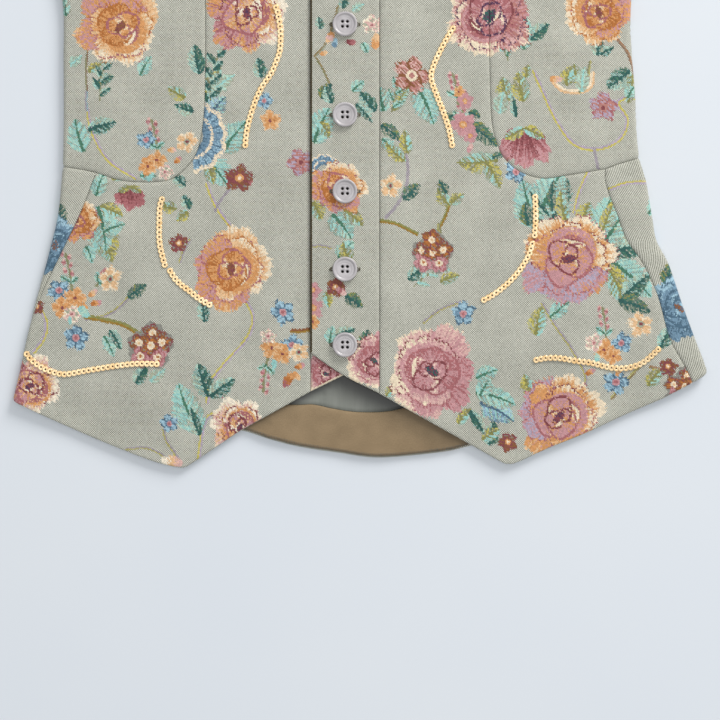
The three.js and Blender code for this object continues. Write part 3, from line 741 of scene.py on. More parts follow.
def spray(paint, col, row, length, turn, count, kind, size):
    """A curved stem with small leaves by turns on its two sides."""
    at = from_stalk(col, row, turn)
    stroke(paint, [at(0, 0), at(0.5 * length, 0.08 * length), at(length, 0)], "olive", "olive", 0.8)
    for k in range(count):
        share = (k + 0.6) / count
        place = at(share * length, 0.3 * share * (1 - share) * length)
        side = 42 if k % 2 else -42
        leaf(paint, *place, size * (1.15 - 0.4 * share), size * 0.42, turn + side, kind)


SPRIG_SEED = 1


def sprig(paint, col, row, length, turn):
    """An olive stem with pink buds on both sides."""
    draw = np.random.RandomState(SPRIG_SEED)
    at = from_stalk(col, row, turn)
    stroke(paint, [at(0, 0), at(0.5 * length, -1.5), at(length, 0)], "olive", "olive", 1.2)
    for k in range(6):
        share = 0.45 + 0.11 * k
        place = at(share * length, (3.2 if k % 2 else -3.2))
        bud(paint, *place, 6.2, turn + draw.uniform(-30, 30), "pink rose blush")
    leaf(paint, *at(0.25 * length, 0), 10, 5, turn + 50, "aqua")
    leaf(paint, *at(0.2 * length, 0), 9, 4, turn - 60, "aqua")


def bud(paint, col, row, length, turn, names):
    """A small closed bud."""
    found, u, v = paint.near(col, row, length, turn)
    inside = np.hypot(u / (0.5 * length), v / (0.28 * length)) < 0.9 + 0.3 * paint.grain[found]
    paint.put(found, inside, shade(yarns(names), 0.5 + u / length + 0.3 * (paint.grain[found] - 0.5)))


def tulip(paint, col, row, size, turn, names):
    """A half-open flower of three petals and two sepals."""
    colours = yarns(names)
    for k, (swing, reach) in enumerate([(-34, 0.9), (34, 0.95), (0, 1.0)]):
        petal(paint, col, row, turn + swing, size * reach, size * 0.62, colours, YARN["wine"],
              11 * k + int(col))
    for swing in (-62, 62):
        leaf(paint, col, row, size * 0.5, size * 0.2, turn + swing, "olive")


# A fan, in shares of its size: the band's inner edge, its cream arc, middle and outer edge, and the scallops
FAN_INNER, FAN_ARC, FAN_MIDDLE, FAN_OUTER, FAN_SCALLOP = 0.34, 0.58, 0.66, 0.92, 0.08


def fan(paint, col, row, size, turn, span):
    """A blue band of scallops with cream edges. It spans as many degrees to each side of its middle."""
    c, s = cos_sin(turn)
    found, u, v = paint.near(col - FAN_MIDDLE * size * c, row + FAN_MIDDLE * size * s, size * 1.15, turn)
    grain = paint.grain[found]
    away, angle = np.hypot(u, v) / size, np.degrees(np.arctan2(v, u))
    scallop = FAN_OUTER + FAN_SCALLOP * np.abs(np.sin(np.radians(angle) * 6))
    inside = (away < scallop) & (np.abs(angle) < span) & (away > FAN_INNER)
    rib = (angle / 13) % 1
    tone = 0.2 + 0.6 * away + 0.5 * (grain - 0.5)
    paint.put(found, inside, shade(yarns("slate steel steel sky"), tone))
    paint.put(found, inside & (rib < 0.22) & (grain > 0.2), YARN["slate"])
    paint.put(found, inside & (away > scallop - 0.12) & (grain > 0.15), YARN["cream"])
    arc = np.abs(away - FAN_ARC) < 0.04
    paint.put(found, inside & arc & (grain > 0.25), YARN["cream"])


def rows(columns, *values):
    """A short table: a dict for each row."""
    names = columns.split()
    return [dict(zip(names, row)) for row in values]


# The mauve rose stands twice, three squares apart, so that the pieces on both sides of its seam have it
ROSES = rows(
    "col row size kind light seed",
    (120, 27, 41, "orange", -70, 3), (247, 14, 40, "peach", 20, 12), (488, 16, 42, "mauve", 215, 7),
    (491, 16, 42, "mauve", 215, 7), (599, 12, 35, "orange", 170, 21), (231, 269, 41, "orange", 15, 5),
    (338, 187, 28, "orange", 60, 9), (569, 259, 48, "coral", 55, 31), (432, 371, 47, "pink", 170, 17),
    (559, 417, 44, "coral", 0, 26), (30, 386, 32, "peach", -20, 14), (240, 427, 28, "peach", 90, 33),
    (374, 361, 29, "pink", 200, 41), (326, 374, 25, "pink", 250, 43), (77, 220, 23, "orange", 100, 45),
    (55, 246, 30, "steel", 90, 51), (680, 308, 33, "steel", 90, 53),
)
FANS = rows("col row size turn span", (215, 140, 38, -8, 76), (319, 161, 17, 115, 80))
TULIPS = rows(
    "col row size turn names",
    (130, 186, 24, 268, "wine rose rose pink"), (524, 128, 40, 270, "wine rose pink pink mauve"),
    (240, 186, 14, 60, "wine wine rose mauve"), (436, 262, 22, 95, "wine rust orange gold"),
)
FLOWERS = rows(
    "col row size kind turn",
    (76, 338, 14, "blue", 10), (283, 312, 12, "blue", 40), (463, 314, 12, "blue", 20),
    (616, 382, 13, "blue", 0), (169, 424, 9, "blue", 30), (264, 101, 8, "blue", 0),
    (59, 290, 11, "blue", 50), (146, 140, 9, "blue", 0), (292, 345, 10, "blue", 15),
    (621, 343, 10, "blue", 25), (75, 298, 11, "orange", 0), (62, 308, 10, "orange", 30),
    (110, 279, 12, "apricot", 20), (72, 314, 9, "blush", 0), (157, 160, 10, "orange", 10),
    (148, 166, 9, "orange", 45), (187, 142, 11, "apricot", 0), (165, 172, 8, "blush", 0),
    (272, 348, 10, "orange", 25), (283, 354, 10, "orange", 0), (299, 352, 10, "apricot", 40),
    (268, 336, 8, "blush", 9), (604, 350, 10, "orange", 0), (613, 356, 9, "orange", 50),
    (641, 324, 12, "apricot", 30), (594, 343, 9, "blush", 0), (270, 121, 10, "orange", 20),
    (390, 186, 11, "apricot", 10), (313, 290, 8, "pink", 0), (314, 308, 10, "pink", 30),
    (313, 322, 7, "orange", 0), (179, 243, 10, "wine", 20), (335, 287, 10, "wine", 0),
    (508, 442, 10, "wine", 40), (240, 178, 15, "wine", 10), (459, 92, 6, "orange", 0),
    (465, 101, 8, "pink", 20), (463, 125, 12, "pink", 40), (470, 136, 7, "pink", 0),
    (516, 172, 12, "blue", 0), (603, 108, 14, "mauve", 15), (412, 76, 18, "brownpink", 0),
    (432, 240, 11, "gold", 0), (301, 163, 13, "mauve", 40), (668, 366, 9, "wine", 10),
    (37, 306, 8, "wine", 30), (372, 26, 9, "blush", 20),
)
HYDRANGEAS = rows("col row size seed", (150, 346, 22, 2), (432, 253, 20, 4), (684, 387, 19, 6))
LEAVES = rows(
    "col row length width turn kind",
    (90, 212, 48, 22, -66, "olive"), (98, 206, 40, 16, -80, "aqua"), (538, 228, 44, 20, 108, "aqua"),
    (552, 222, 40, 18, 70, "pine"), (612, 236, 44, 20, 62, "aqua"), (620, 232, 36, 14, 88, "olive"),
    (612, 262, 46, 20, -42, "aqua"), (606, 264, 42, 14, -66, "olive"), (480, 402, 34, 16, -30, "sky"),
    (476, 392, 36, 14, -18, "aqua"), (66, 16, 16, 8, 95, "aqua"), (70, 66, 14, 7, 40, "pale"),
    (88, 72, 15, 7, 30, "olive"), (98, 82, 15, 8, 20, "pine"), (140, 76, 20, 9, 60, "aqua"),
    (84, 152, 30, 15, 105, "aqua"), (88, 130, 26, 11, 15, "pine"), (205, 108, 24, 13, 110, "aqua"),
    (206, 96, 28, 11, 62, "olive"), (200, 74, 26, 12, 100, "pine"), (208, 96, 30, 10, 38, "pale"),
    (186, 98, 18, 9, 150, "olive"), (194, 112, 18, 8, 160, "pine"), (186, 186, 16, 8, 140, "pine"),
    (96, 196, 22, 11, 70, "aqua"), (100, 206, 22, 10, -25, "olive"), (104, 232, 20, 11, 20, "aqua"),
    (86, 246, 16, 8, -70, "aqua"), (190, 209, 14, 7, 115, "pine"), (177, 209, 15, 8, 165, "olive"),
    (188, 211, 13, 7, -140, "olive"), (262, 78, 18, 9, 100, "pine"), (322, 100, 16, 9, 60, "dark"),
    (332, 104, 16, 8, 110, "pine"), (352, 92, 14, 8, 40, "aqua"), (356, 104, 22, 6, -50, "pine"),
    (376, 112, 22, 11, 130, "pine"), (314, 144, 34, 18, 66, "aqua"), (320, 122, 16, 8, -60, "olive"),
    (384, 112, 22, 13, 100, "aqua"), (394, 111, 25, 8, 58, "olive"), (381, 125, 21, 9, -40, "dark"),
    (417, 87, 36, 17, -66, "aqua"), (382, 139, 16, 8, -50, "aqua"), (405, 162, 24, 9, 134, "olive"),
    (408, 154, 21, 9, 98, "olive"), (403, 200, 20, 10, 42, "dark"), (450, 206, 18, 9, 128, "olive"),
    (450, 204, 15, 8, 36, "olive"), (447, 194, 14, 7, 118, "dark"), (498, 160, 36, 14, 184, "olive"),
    (486, 162, 26, 11, -62, "olive"), (524, 50, 28, 13, 85, "aqua"), (530, 40, 22, 10, 40, "pine"),
    (597, 56, 16, 9, 80, "pine"), (600, 55, 14, 6, 30, "pine"), (578, 84, 18, 9, 100, "olive"),
    (630, 70, 26, 13, -142, "pine"), (633, 74, 26, 11, -100, "olive"), (628, 98, 12, 8, 60, "aqua"),
    (508, 102, 22, 12, 102, "olive"), (516, 118, 19, 5, 98, "pine"), (524, 102, 27, 12, 100, "olive"),
    (526, 78, 12, 6, 80, "olive"), (500, 114, 20, 10, 80, "pale"), (492, 158, 14, 5, 20, "dark"),
    (540, 214, 42, 24, 62, "aqua"), (549, 216, 28, 5, 128, "pine"), (552, 212, 28, 6, 88, "dark"),
    (545, 224, 16, 4, 150, "pine"), (566, 222, 28, 9, 100, "olive"), (528, 226, 21, 9, 95, "dark"),
    (582, 224, 20, 12, 70, "olive"), (604, 244, 40, 20, 55, "aqua"), (598, 236, 38, 16, 70, "aqua"),
    (602, 234, 34, 8, 68, "olive"), (612, 252, 32, 15, 10, "pine"), (622, 298, 32, 13, 40, "pine"),
    (618, 300, 30, 12, -20, "dark"), (536, 336, 26, 12, 80, "olive"), (550, 318, 22, 10, 40, "aqua"),
    (660, 348, 22, 10, 60, "pine"), (648, 386, 20, 10, 50, "olive"), (480, 396, 18, 10, 60, "aqua"),
    (476, 378, 20, 12, 20, "aqua"), (532, 396, 20, 10, 110, "olive"), (490, 446, 22, 11, 80, "pine"),
    (482, 440, 18, 9, 30, "olive"), (332, 214, 28, 16, -52, "aqua"), (344, 210, 22, 10, -40, "olive"),
    (313, 202, 18, 11, -66, "olive"), (345, 296, 18, 9, -34, "dark"), (326, 292, 14, 7, -80, "olive"),
    (456, 114, 11, 6, 200, "dark"), (468, 112, 12, 6, -24, "dark"), (468, 124, 32, 11, -38, "dark"),
    (338, 258, 20, 11, 45, "aqua"), (350, 262, 18, 9, 110, "olive"), (356, 352, 22, 9, 50, "pine"),
    (364, 352, 20, 9, 80, "dark"), (408, 280, 18, 9, 40, "pine"), (440, 282, 18, 8, 20, "olive"),
    (458, 424, 18, 8, 50, "olive"), (470, 410, 24, 8, -60, "pine"), (386, 396, 14, 7, 40, "olive"),
    (400, 410, 26, 9, -35, "sky"), (424, 426, 24, 9, -30, "olive"), (446, 446, 22, 9, -20, "aqua"),
    (128, 298, 20, 9, 35, "dark"), (110, 330, 20, 8, -60, "pine"), (104, 336, 20, 8, -65, "aqua"),
    (136, 384, 20, 9, 60, "pine"), (150, 382, 18, 8, 40, "pale"), (205, 322, 22, 8, 95, "pine"),
    (199, 434, 48, 19, 112, "aqua"), (200, 436, 26, 8, 108, "pine"), (209, 397, 31, 14, 108, "pine"),
    (210, 397, 27, 11, 36, "pine"), (648, 214, 22, 10, 40, "aqua"), (112, 180, 18, 7, 30, "olive"),
    (140, 176, 14, 6, 0, "aqua"), (330, 344, 16, 8, 80, "aqua"), (336, 336, 18, 8, 20, "pine"),
    (343, 10, 13, 7, 80, "pine"), (321, 30, 11, 6, 100, "pine"), (352, 12, 12, 6, 30, "pale"),
    (566, 86, 18, 10, 75, "olive"), (582, 92, 22, 9, 84, "pale"), (362, 44, 10, 6, -60, "aqua"),
)
# Leaves that lie over the sprays
UPPER_LEAVES = rows(
    "col row length width turn kind",
    (62, 226, 20, 10, 95, "dark"), (58, 224, 18, 8, 130, "pine"), (668, 288, 24, 11, 80, "dark"),
    (674, 286, 22, 9, 50, "dark"), (208, 118, 24, 13, 50, "sky"), (223, 152, 34, 17, 52, "aqua"),
    (208, 162, 27, 17, -50, "aqua"), (206, 160, 22, 8, -74, "olive"),
)
SPRAYS = rows(
    "col row length turn count kind size",
    (100, 100, 46, 78, 7, "pine", 11), (212, 116, 62, 84, 9, "pine", 14), (392, 112, 40, 70, 6, "aqua", 11),
    (414, 286, 36, 30, 5, "pale", 10), (170, 470, 44, 80, 6, "pale", 11), (508, 60, 30, 100, 5, "aqua", 9),
)
SPRIGS = rows(
    "col row length turn",
    (72, 291, 38, 100), (158, 156, 36, 100), (268, 358, 34, 262), (606, 342, 34, 96), (462, 128, 40, 92),
    (458, 104, 30, 100), (96, 286, 18, 50),
)
BUDS = rows(
    "col row length turn names",
    (93, 293, 10, 45, "orange apricot blush"), (96, 303, 11, 10, "rust orange pink"),
    (84, 306, 9, -40, "orange orange"), (300, 366, 10, 20, "rust orange pink"),
    (297, 376, 10, -60, "orange apricot"), (618, 372, 9, 70, "orange apricot"),
    (590, 372, 10, 30, "rust orange pink"), (178, 160, 9, 50, "rust orange pink"),
    (172, 150, 9, 0, "orange apricot blush"), (341, 291, 11, -30, "pink rose blush"),
    (470, 148, 9, 60, "pink blush"), (70, 321, 7, 90, "aqua aqua"), (84, 312, 14, -50, "aqua mint aqua"),
    (274, 364, 9, 90, "aqua aqua"), (597, 358, 9, 90, "aqua mint"), (150, 178, 8, 60, "aqua aqua"),
    (288, 380, 16, 60, "rose rust orange"), (335, 44, 9, 75, "steel sky"),
    (330, 38, 12, 60, "apricot blush orange"), (324, 54, 8, 20, "orange apricot"),
    (351, 43, 10, 0, "wine rose"), (172, 462, 20, -8, "pale apricot blush"),
    (376, 42, 16, 80, "orange apricot"), (556, 79, 12, 0, "orange apricot blush"),
)
VINES = rows(
    "near_yarn far_yarn thick points",
    ("lime", "lilac", 1.6, [(87, 108), (92, 132), (108, 160), (135, 178)]),
    ("olive", "brown", 1.0, [(88, 44), (86, 70), (87, 92)]),
    ("lilac", "sky", 1.3, [(87, 92), (86, 100), (87, 110)]),
    ("lime", "lilac", 1.7, [(207, 184), (213, 200), (221, 214), (232, 228)]),
    ("lilac", "lilac", 1.2, [(230, 189), (221, 200), (215, 211)]),
    ("lilac", "lilac", 1.5, [(399, 139), (406, 156), (408, 172), (405, 190), (397, 205), (386, 218)]),
    ("gold", "olive", 1.8, [(378, 221), (396, 224), (417, 234)]),
    ("gold", "olive", 1.6, [(438, 230), (446, 214), (450, 200)]),
    ("olive", "lime", 1.3, [(440, 262), (441, 240), (438, 224)]),
    ("lime", "lilac", 1.7, [(534, 72), (543, 92), (556, 120), (574, 144), (598, 149), (620, 139), (627, 120),
                           (618, 104), (628, 97), (640, 99)]),
    ("lilac", "lilac", 1.4, [(594, 149), (598, 168)]),
    ("lime", "lilac", 1.6, [(588, 172), (580, 190), (574, 212)]),
    ("lime", "lilac", 1.5, [(542, 304), (554, 324), (572, 350), (586, 378), (578, 396)]),
    ("gold", "lime", 1.5, [(612, 398), (640, 366), (656, 352), (664, 338)]),
    ("gold", "rust", 1.5, [(650, 367), (662, 370), (674, 378)]),
    ("lilac", "lime", 1.6, [(610, 189), (628, 183), (648, 182)]),
    ("lime", "lilac", 1.7, [(245, 298), (253, 318), (247, 338), (226, 362), (211, 382), (207, 402)]),
    ("lime", "lilac", 1.7, [(232, 404), (216, 412), (204, 424), (198, 462)]),
    ("lime", "lilac", 1.4, [(163, 430), (167, 442), (177, 457)]),
    ("lime", "lilac", 1.3, [(126, 449), (146, 448), (160, 454), (172, 462)]),
    ("lilac", "lime", 1.5, [(86, 319), (104, 316), (118, 308), (130, 296)]),
    ("gold", "olive", 2.3, [(86, 317), (104, 320), (124, 325), (142, 336)]),
    ("lilac", "lime", 1.7, [(38, 303), (46, 322), (44, 338), (34, 352)]),
    ("gold", "brown", 2.0, [(292, 331), (302, 331), (312, 329)]),
    ("lime", "lilac", 1.3, [(424, 322), (440, 310), (460, 302)]),
    ("lime", "lilac", 1.3, [(311, 247), (320, 246), (330, 248)]),
    ("brown", "rust", 1.5, [(618, 40), (628, 54), (636, 76)]),
    ("olive", "gold", 1.0, [(315, 57), (323, 70), (330, 86)]),
    ("gold", "sage", 1.4, [(339, 6), (332, 30), (325, 46), (315, 57)]),
    ("apricot", "cream", 2.2, [(553, 81), (562, 90), (578, 92), (590, 87), (593, 74)]),
    ("lime", "olive", 1.4, [(580, 92), (587, 80), (590, 62)]),
    ("lilac", "lime", 1.4, [(180, 262), (184, 250), (190, 240)]),
)
# What draws each table, from the lowest layer to the top one
MOTIFS = [
    (stroke, VINES), (leaf, LEAVES), (spray, SPRAYS), (leaf, UPPER_LEAVES), (sprig, SPRIGS), (fan, FANS),
    (tulip, TULIPS), (hydrangea, HYDRANGEAS), (flower, FLOWERS), (bud, BUDS), (rose, ROSES),
]


# Strings of sequins along the motifs, as points of the chart
STRINGS = {
    "a": [(276, 8), (278, 14), (280.6, 32), (280, 50.5), (276.7, 61), (271.4, 73.5), (263, 85.7), (256.8, 98),
          (251.5, 113), (247.7, 127), (246, 138), (245.4, 145.4)],
    "b": [(452.8, 29), (443.6, 44.4), (433.6, 65.8), (431.3, 79.6), (437.5, 98), (443.6, 113.3), (449, 130),
          (452, 145.4)],
    "c": [(162, 199.5), (159.8, 208), (159.4, 224), (159.4, 237), (160.4, 247), (162.7, 256.6), (165, 265)],
    "d": [(170.3, 271), (175, 278.6), (181.8, 285.3), (189.5, 291), (199, 298.7), (209.6, 304.8)],
    "e": [(535, 197), (535.5, 218), (534.4, 235.5)],
    "f": [(532, 244), (528.8, 254.6), (521, 268), (511.6, 279.5), (501, 289), (491.5, 295.8), (483.8, 300)],
    "g": [(26.8, 354), (31.6, 360), (42, 367.6), (53.6, 372.3), (63.2, 374.3), (72.7, 373.3), (82.3, 371.4),
          (99.5, 368.5), (118.7, 365.6), (137.8, 363.7), (156.9, 364)],
    "h": [(536, 360), (547, 358), (560.4, 358.4), (575.7, 361), (591, 363), (602.5, 366), (616, 368.5),
          (629, 367.6), (641, 363.7), (650, 357), (658, 349.4)],
}


# ------------------------------------------------
# Cloth meshes
# ------------------------------------------------
FINE = 0.9  # the lattice that carries the pattern, in millimetres
BARE_EVERY = 4  # bare cloth keeps every fourth of its lines
FOLD_COLUMNS = 7
EDGE_LOOPS = {  # how far in from an edge each loop beside it lies, and how far it drops
    SEAM: ((0.5, 0.5), (1.3, 0.2), (2.4, 0.05)),
    EDGE: ((0.35, 0.16), (0.9, 0.03), (1.8, 0.0)),
}
EDGE_DROP = {SEAM: 0.9, EDGE: 0.42}
BULGE = {SEAM: 0.0, EDGE: 0.22}
VIEW_ROWS = (-8, 500)  # the chart's rows that the close view shows
BACK_ROWS = 2000  # the back's hidden face has its own chart, this many rows further down
HEM_SLOPE = 0.57  # how steeply a front's hem line is taken on past the middle line, for the shade painted under it
CLEARANCE = 0.42  # of FINE, between the lattice and the loops beside an edge
FOLDS_CLEAR = 0.4  # between the fold columns and an edge
DROP_REACH = 2.6
DEEPEST_DROP = 0.75  # of the cloth's thickness


def chart_places(points):
    """Cloth places in millimetres as columns and rows of the chart."""
    return np.stack([CHART_MIDDLE[0] + points[:, 0] / CHART, CHART_MIDDLE[1] - points[:, 1] / CHART], 1)


def back_chart_places(points):
    """The back's cloth, where it folds onto the front, has the front's chart places."""
    c, y = points.T
    edge = fold_start(c, y) + QUARTER_FOLD
    folded = np.abs(c) > edge
    front = np.where(folded, np.sign(c) * (2 * edge - np.abs(c)), c)
    return chart_places(np.stack([front, y], 1)) + np.outer(~folded, (0, BACK_ROWS))


def inside_rows(loop, xs, ys):
    """Which places of a lattice lie inside a closed loop, one row at a time."""
    (ax, ay), (bx, by) = loop.T, np.roll(loop, -1, axis=0).T
    inside = np.zeros((len(ys), len(xs)), bool)
    for j, y in enumerate(ys):
        hit = (ay > y) != (by > y)
        crossings = np.sort(ax[hit] + (y - ay[hit]) * (bx[hit] - ax[hit]) / (by[hit] - ay[hit]))
        inside[j] = np.searchsorted(crossings, xs) % 2 == 1
    return inside


def inside_loop(loop, points):
    """Which points lie inside a closed loop."""
    inside = np.zeros(len(points), bool)
    x, y = points.T
    for (ax, ay), (bx, by) in zip(loop, np.roll(loop, -1, axis=0)):
        crosses = (ay > y) != (by > y)
        inside[crosses] ^= x[crosses] < ax + (y[crosses] - ay) * (bx - ax) / (by - ay)
    return inside


def painted(motifs, places):
    paint = Paint(places)
    for draw, motif in motifs:
        draw(paint, **motif)
    return paint.colour, paint.cover


def spread(cover):
    """The cells of a grid and their eight neighbours."""
    wide = cover | np.roll(cover, 1, 0) | np.roll(cover, -1, 0)
    return wide | np.roll(wide, 1, 1) | np.roll(wide, -1, 1)


def lattice(loop, motifs, places_of, every):
    """Points to fill a loop with: far apart on bare cloth, and close together where a motif is woven."""
    low, high = np.floor(loop.min(0) / FINE).astype(int), np.ceil(loop.max(0) / FINE).astype(int)
    i, j = np.arange(low[0], high[0] + 1), np.arange(low[1], high[1] + 1)
    grid = np.stack(np.meshgrid(i * FINE, j * FINE), -1)
    inside = inside_rows(loop, i * FINE, j * FINE)
    keep = (i % every == 0)[None, :] & (j % every == 0)[:, None]
    if motifs:
        places = places_of(grid[inside])
        cover, shown = np.zeros_like(inside), np.zeros_like(inside)
        cover[inside] = painted(motifs, places)[1] > 0
        shown[inside] = (places[:, 1] > VIEW_ROWS[0]) & (places[:, 1] < VIEW_ROWS[1])
        half = (i % 2 == 0)[None, :] & (j % 2 == 0)[:, None]
        near = spread(cover)
        keep |= (near & shown) | (spread(near) & half)
    keep &= inside
    loops = [moved_in(loop, reach) for reach, _ in EDGE_LOOPS[EDGE]]
    for beside in [smooth_line(np.vstack([loop, loop[:1]]), 0.4), *loops]:
        at = np.round(beside / FINE).astype(int)
        close = np.hypot(*(at * FINE - beside).T) < CLEARANCE * FINE
        at = np.clip(at[close] - low, 0, high - low)
        keep[at[:, 1], at[:, 0]] = False
    return grid[keep]


def fold_points(loop):
    """Columns of points where the cloth bends round a folded side."""
    ys = np.arange(loop[:, 1].min(), loop[:, 1].max(), BARE_EVERY * FINE)
    points = []
    for sign in (-1, 1):
        start = fold_start(np.full(len(ys), sign), ys)
        for k in range(FOLD_COLUMNS + 1):
            points.append(np.stack([sign * (start + 2 * QUARTER_FOLD * k / FOLD_COLUMNS), ys], 1))
    points = np.vstack(points)
    return points[inside_loop(moved_in(loop, FOLDS_CLEAR), points)]


def triangulated(loop, points):
    """The corners and triangles of a mesh that fills a loop through the points."""
    corners = [Vector(place) for place in np.vstack([loop, points])]
    found = delaunay_2d_cdt(corners, [], [list(range(len(loop)))], 1, 1e-5)
    return np.array([(v.x, v.y) for v in found[0]]), np.array(found[2])


def boundary(triangles):
    """The edges that only one triangle has, in its direction."""
    edges = {(int(t[k]), int(t[k - 2])) for t in triangles for k in range(3)}
    return [(a, b) for a, b in edges if (b, a) not in edges]


def kdtree(points):
    tree = KDTree(len(points))
    for i, (x, y) in enumerate(points):
        tree.insert((x, y, 0), i)
    tree.balance()
    return tree


def edge_drops(points, loop, kinds):
    """How far each point drops beside the nearest edge."""
    parts = 4
    after = np.roll(loop, -1, axis=0)
    tree = kdtree(np.stack([loop + (after - loop) * k / parts for k in range(parts)], 1).reshape(-1, 2))
    steps = {kind: ([0, *(reach for reach, _ in loops)], [EDGE_DROP[kind], *(drop for _, drop in loops)])
             for kind, loops in EDGE_LOOPS.items()}
    drops = np.zeros(len(points))
    for i, (x, y) in enumerate(points):
        _, index, distance = tree.find((x, y, 0))
        if distance < DROP_REACH:
            drops[i] = np.interp(distance, *steps[int(kinds[index // parts])])
    return drops


def cloth(name, shape, lay, thickness, material, motifs=(), places_of=chart_places, outer_down=False,
          rim_yarn=None):
    """A closed shell of cloth: cut to a shape, which is an outline with its kinds, and laid on the body."""
    loop, kinds = moved_in(shape[0], SEAM_DRAWN_IN), shape[1]
    beside = np.vstack([moved_in(loop, EDGE_LOOPS[kind][k][0])[kinds == kind]
                        for k in range(3) for kind in (SEAM, EDGE)])
    beside = beside[inside_loop(loop, beside)]
    folds = fold_points(loop)
    corners, triangles = triangulated(
        loop, np.vstack([beside, folds, lattice(loop, motifs, places_of, BARE_EVERY)]))
    under, under_triangles = triangulated(
        loop, np.vstack([folds, lattice(loop, (), places_of, 2 * BARE_EVERY)]))

    drops = np.minimum(edge_drops(corners, loop, kinds), DEEPEST_DROP * thickness)
    edges = boundary(triangles)
    ring = [a for a, b in edges]
    under_at = {tuple(np.round(p, 3)): i for i, p in enumerate(under[:2 * len(loop)])}
    tree = kdtree(loop)
    nearest = [tree.find((*corners[i], 0))[1] for i in ring]
    out = np.array([BULGE[int(kinds[i])] for i in nearest])[:, None]
    rim = corners[ring] + (loop - moved_in(loop, 1))[nearest] * out
    places = np.vstack([corners, rim, under])
    depths = np.concatenate([drops, (drops[ring] + thickness) / 2, np.full(len(under), thickness)])
    vertices = (np.stack(lay(*places.T, depths), 1) + (*MIDDLE, 0)) * MM

    middle = {a: len(corners) + k for k, a in enumerate(ring)}
    base = len(corners) + len(rim)
    faces = triangles.tolist() + (base + under_triangles[:, ::-1]).tolist()
    for a, b in edges:
        below_a, below_b = (base + under_at[tuple(np.round(corners[p], 3))] for p in (a, b))
        faces += [[b, a, middle[a], middle[b]], [middle[b], middle[a], below_a, below_b]]
    if outer_down:
        faces = [face[::-1] for face in faces]
    piece = mesh_piece(name, vertices, faces, material)
    add_attribute(piece.data, "thread", "FLOAT_VECTOR", "POINT", np.pad(places, ((0, 0), (0, 1))))
    # Painted shade: how far each place is from the shade painted under the fronts' hems
    add_attribute(piece.data, "clear_of_hems", "FLOAT", "POINT", clear_of_hems(*places.T))
    if motifs:
        colour, cover = painted(motifs, places_of(corners[triangles].mean(1)))
        values = np.zeros((len(piece.data.loops), 4))
        values[:3 * len(triangles)] = np.hstack([colour, cover[:, None]]).repeat(3, axis=0)
        # The rim's faces in one yarn; the buttonhole band's umber rim is partly its edge's dark stitching,
        # partly painted shade of the edge
        if rim_yarn:
            values[3 * (len(triangles) + len(under_triangles)):] = (*YARN[rim_yarn], 1)
        add_attribute(piece.data, "pattern", "FLOAT_COLOR", "CORNER", values)
    return piece


def clear_of_hems(x, y):
    """Painted shade under the fronts' hems, from 0 under them to 1 in the open. The left front stands off,
    and the shade painted under it is wide.
    """
    right, left = (along(hem_table(side), np.maximum(x * sign, 0)) - HEM_SLOPE * np.minimum(x * sign, 0)
                   for side, sign in (("right", -1), ("left", 1)))
    clear = np.minimum(smooth(-1, 8, right - y), smooth(-1, 23, left - y))
    return np.clip(clear * smooth(80, 72, np.abs(x)) + smooth(60, 160, y), 0, 1)


def mesh_piece(name, vertices, faces, material):
    mesh = bpy.data.meshes.new(name)
    mesh.from_pydata(np.asarray(vertices).tolist(), [], faces)
    mesh.materials.append(material)
    mesh.shade_smooth()
    piece = bpy.data.objects.new(name, mesh)
    bpy.context.scene.collection.objects.link(piece)
    return piece


def add_attribute(mesh, name, kind, domain, values):
    made = mesh.attributes.new(name, kind, domain)
    field = {"FLOAT_COLOR": "color", "FLOAT_VECTOR": "vector", "FLOAT": "value"}[kind]
    made.data.foreach_set(field, values.astype(np.float32).ravel())


# ------------------------------------------------
# Materials
# ------------------------------------------------
THREAD = 0.68  # between the jacquard's threads, in millimetres
GROUND = {"dark": "3E4239", "mid": "9FA091", "light": "E2E1D5"}


class Look:
    """A material, and short calls for its nodes. Words are the shader's own sockets."""

    def __init__(self, name, **sockets):
        self.material = bpy.data.materials.new(name)
        self.material.use_nodes = True
        self.tree = self.material.node_tree
        self.shader = self.tree.nodes["Principled BSDF"]
        for socket, value in sockets.items():
            self.shader.inputs[socket.replace("_", " ")].default_value = value

    def node(self, kind, inputs=(), **settings):
        made = self.tree.nodes.new("ShaderNode" + kind)
        for key, value in settings.items():
            setattr(made, key, value)
        for key, value in dict(inputs).items():
            self.join(value, made.inputs[key])
        return made

    def join(self, value, socket):
        if isinstance(value, bpy.types.NodeSocket):
            self.tree.links.new(value, socket)
        else:
            socket.default_value = value

    def math(self, operation, *values):
        return self.node("Math", enumerate(values), operation=operation).outputs[0]

    def mix(self, share, a, b, blend="MIX"):
        made = self.node("Mix", data_type="RGBA", blend_type=blend)
        for index, value in ((0, share), (6, a), (7, b)):
            self.join(value, made.inputs[index])
        return made.outputs[2]

    def ramp(self, value, *stops):
        """Colours at places from 0 to 1 along a value."""
        made = self.node("ValToRGB", {"Fac": value})
        ramp = made.color_ramp
        while len(ramp.elements) < len(stops):
            ramp.elements.new(1.0)
        for element, (place, code) in zip(ramp.elements, stops):
            element.position = place
            element.color = (*linear(code), 1)
        return made.outputs["Color"]

    def noise(self, vector, scale, detail):
        return self.node("TexNoise", {"Vector": vector, "Scale": scale, "Detail": detail}).outputs["Fac"]

    def scaled(self, vector, by):
        return self.node("Mapping", {"Vector": vector, "Scale": by}).outputs[0]

    def paint_hem_shade(self, colour, left):
        """The colour, darkened with painted shade to the share that is left where the fronts' hems cover the
        cloth.
        """
        clear = self.node("Attribute", attribute_name="clear_of_hems").outputs["Fac"]
        return self.mix(clear, self.mix(1.0, colour, (left, left, left, 1), "MULTIPLY"), colour)

    def bump(self, height, strength, distance):
        made = self.node("Bump", {"Height": height, "Strength": strength, "Distance": distance * MM})
        self.join(made.outputs[0], self.shader.inputs["Normal"])

    def colour(self, value):
        self.join(value, self.shader.inputs["Base Color"])


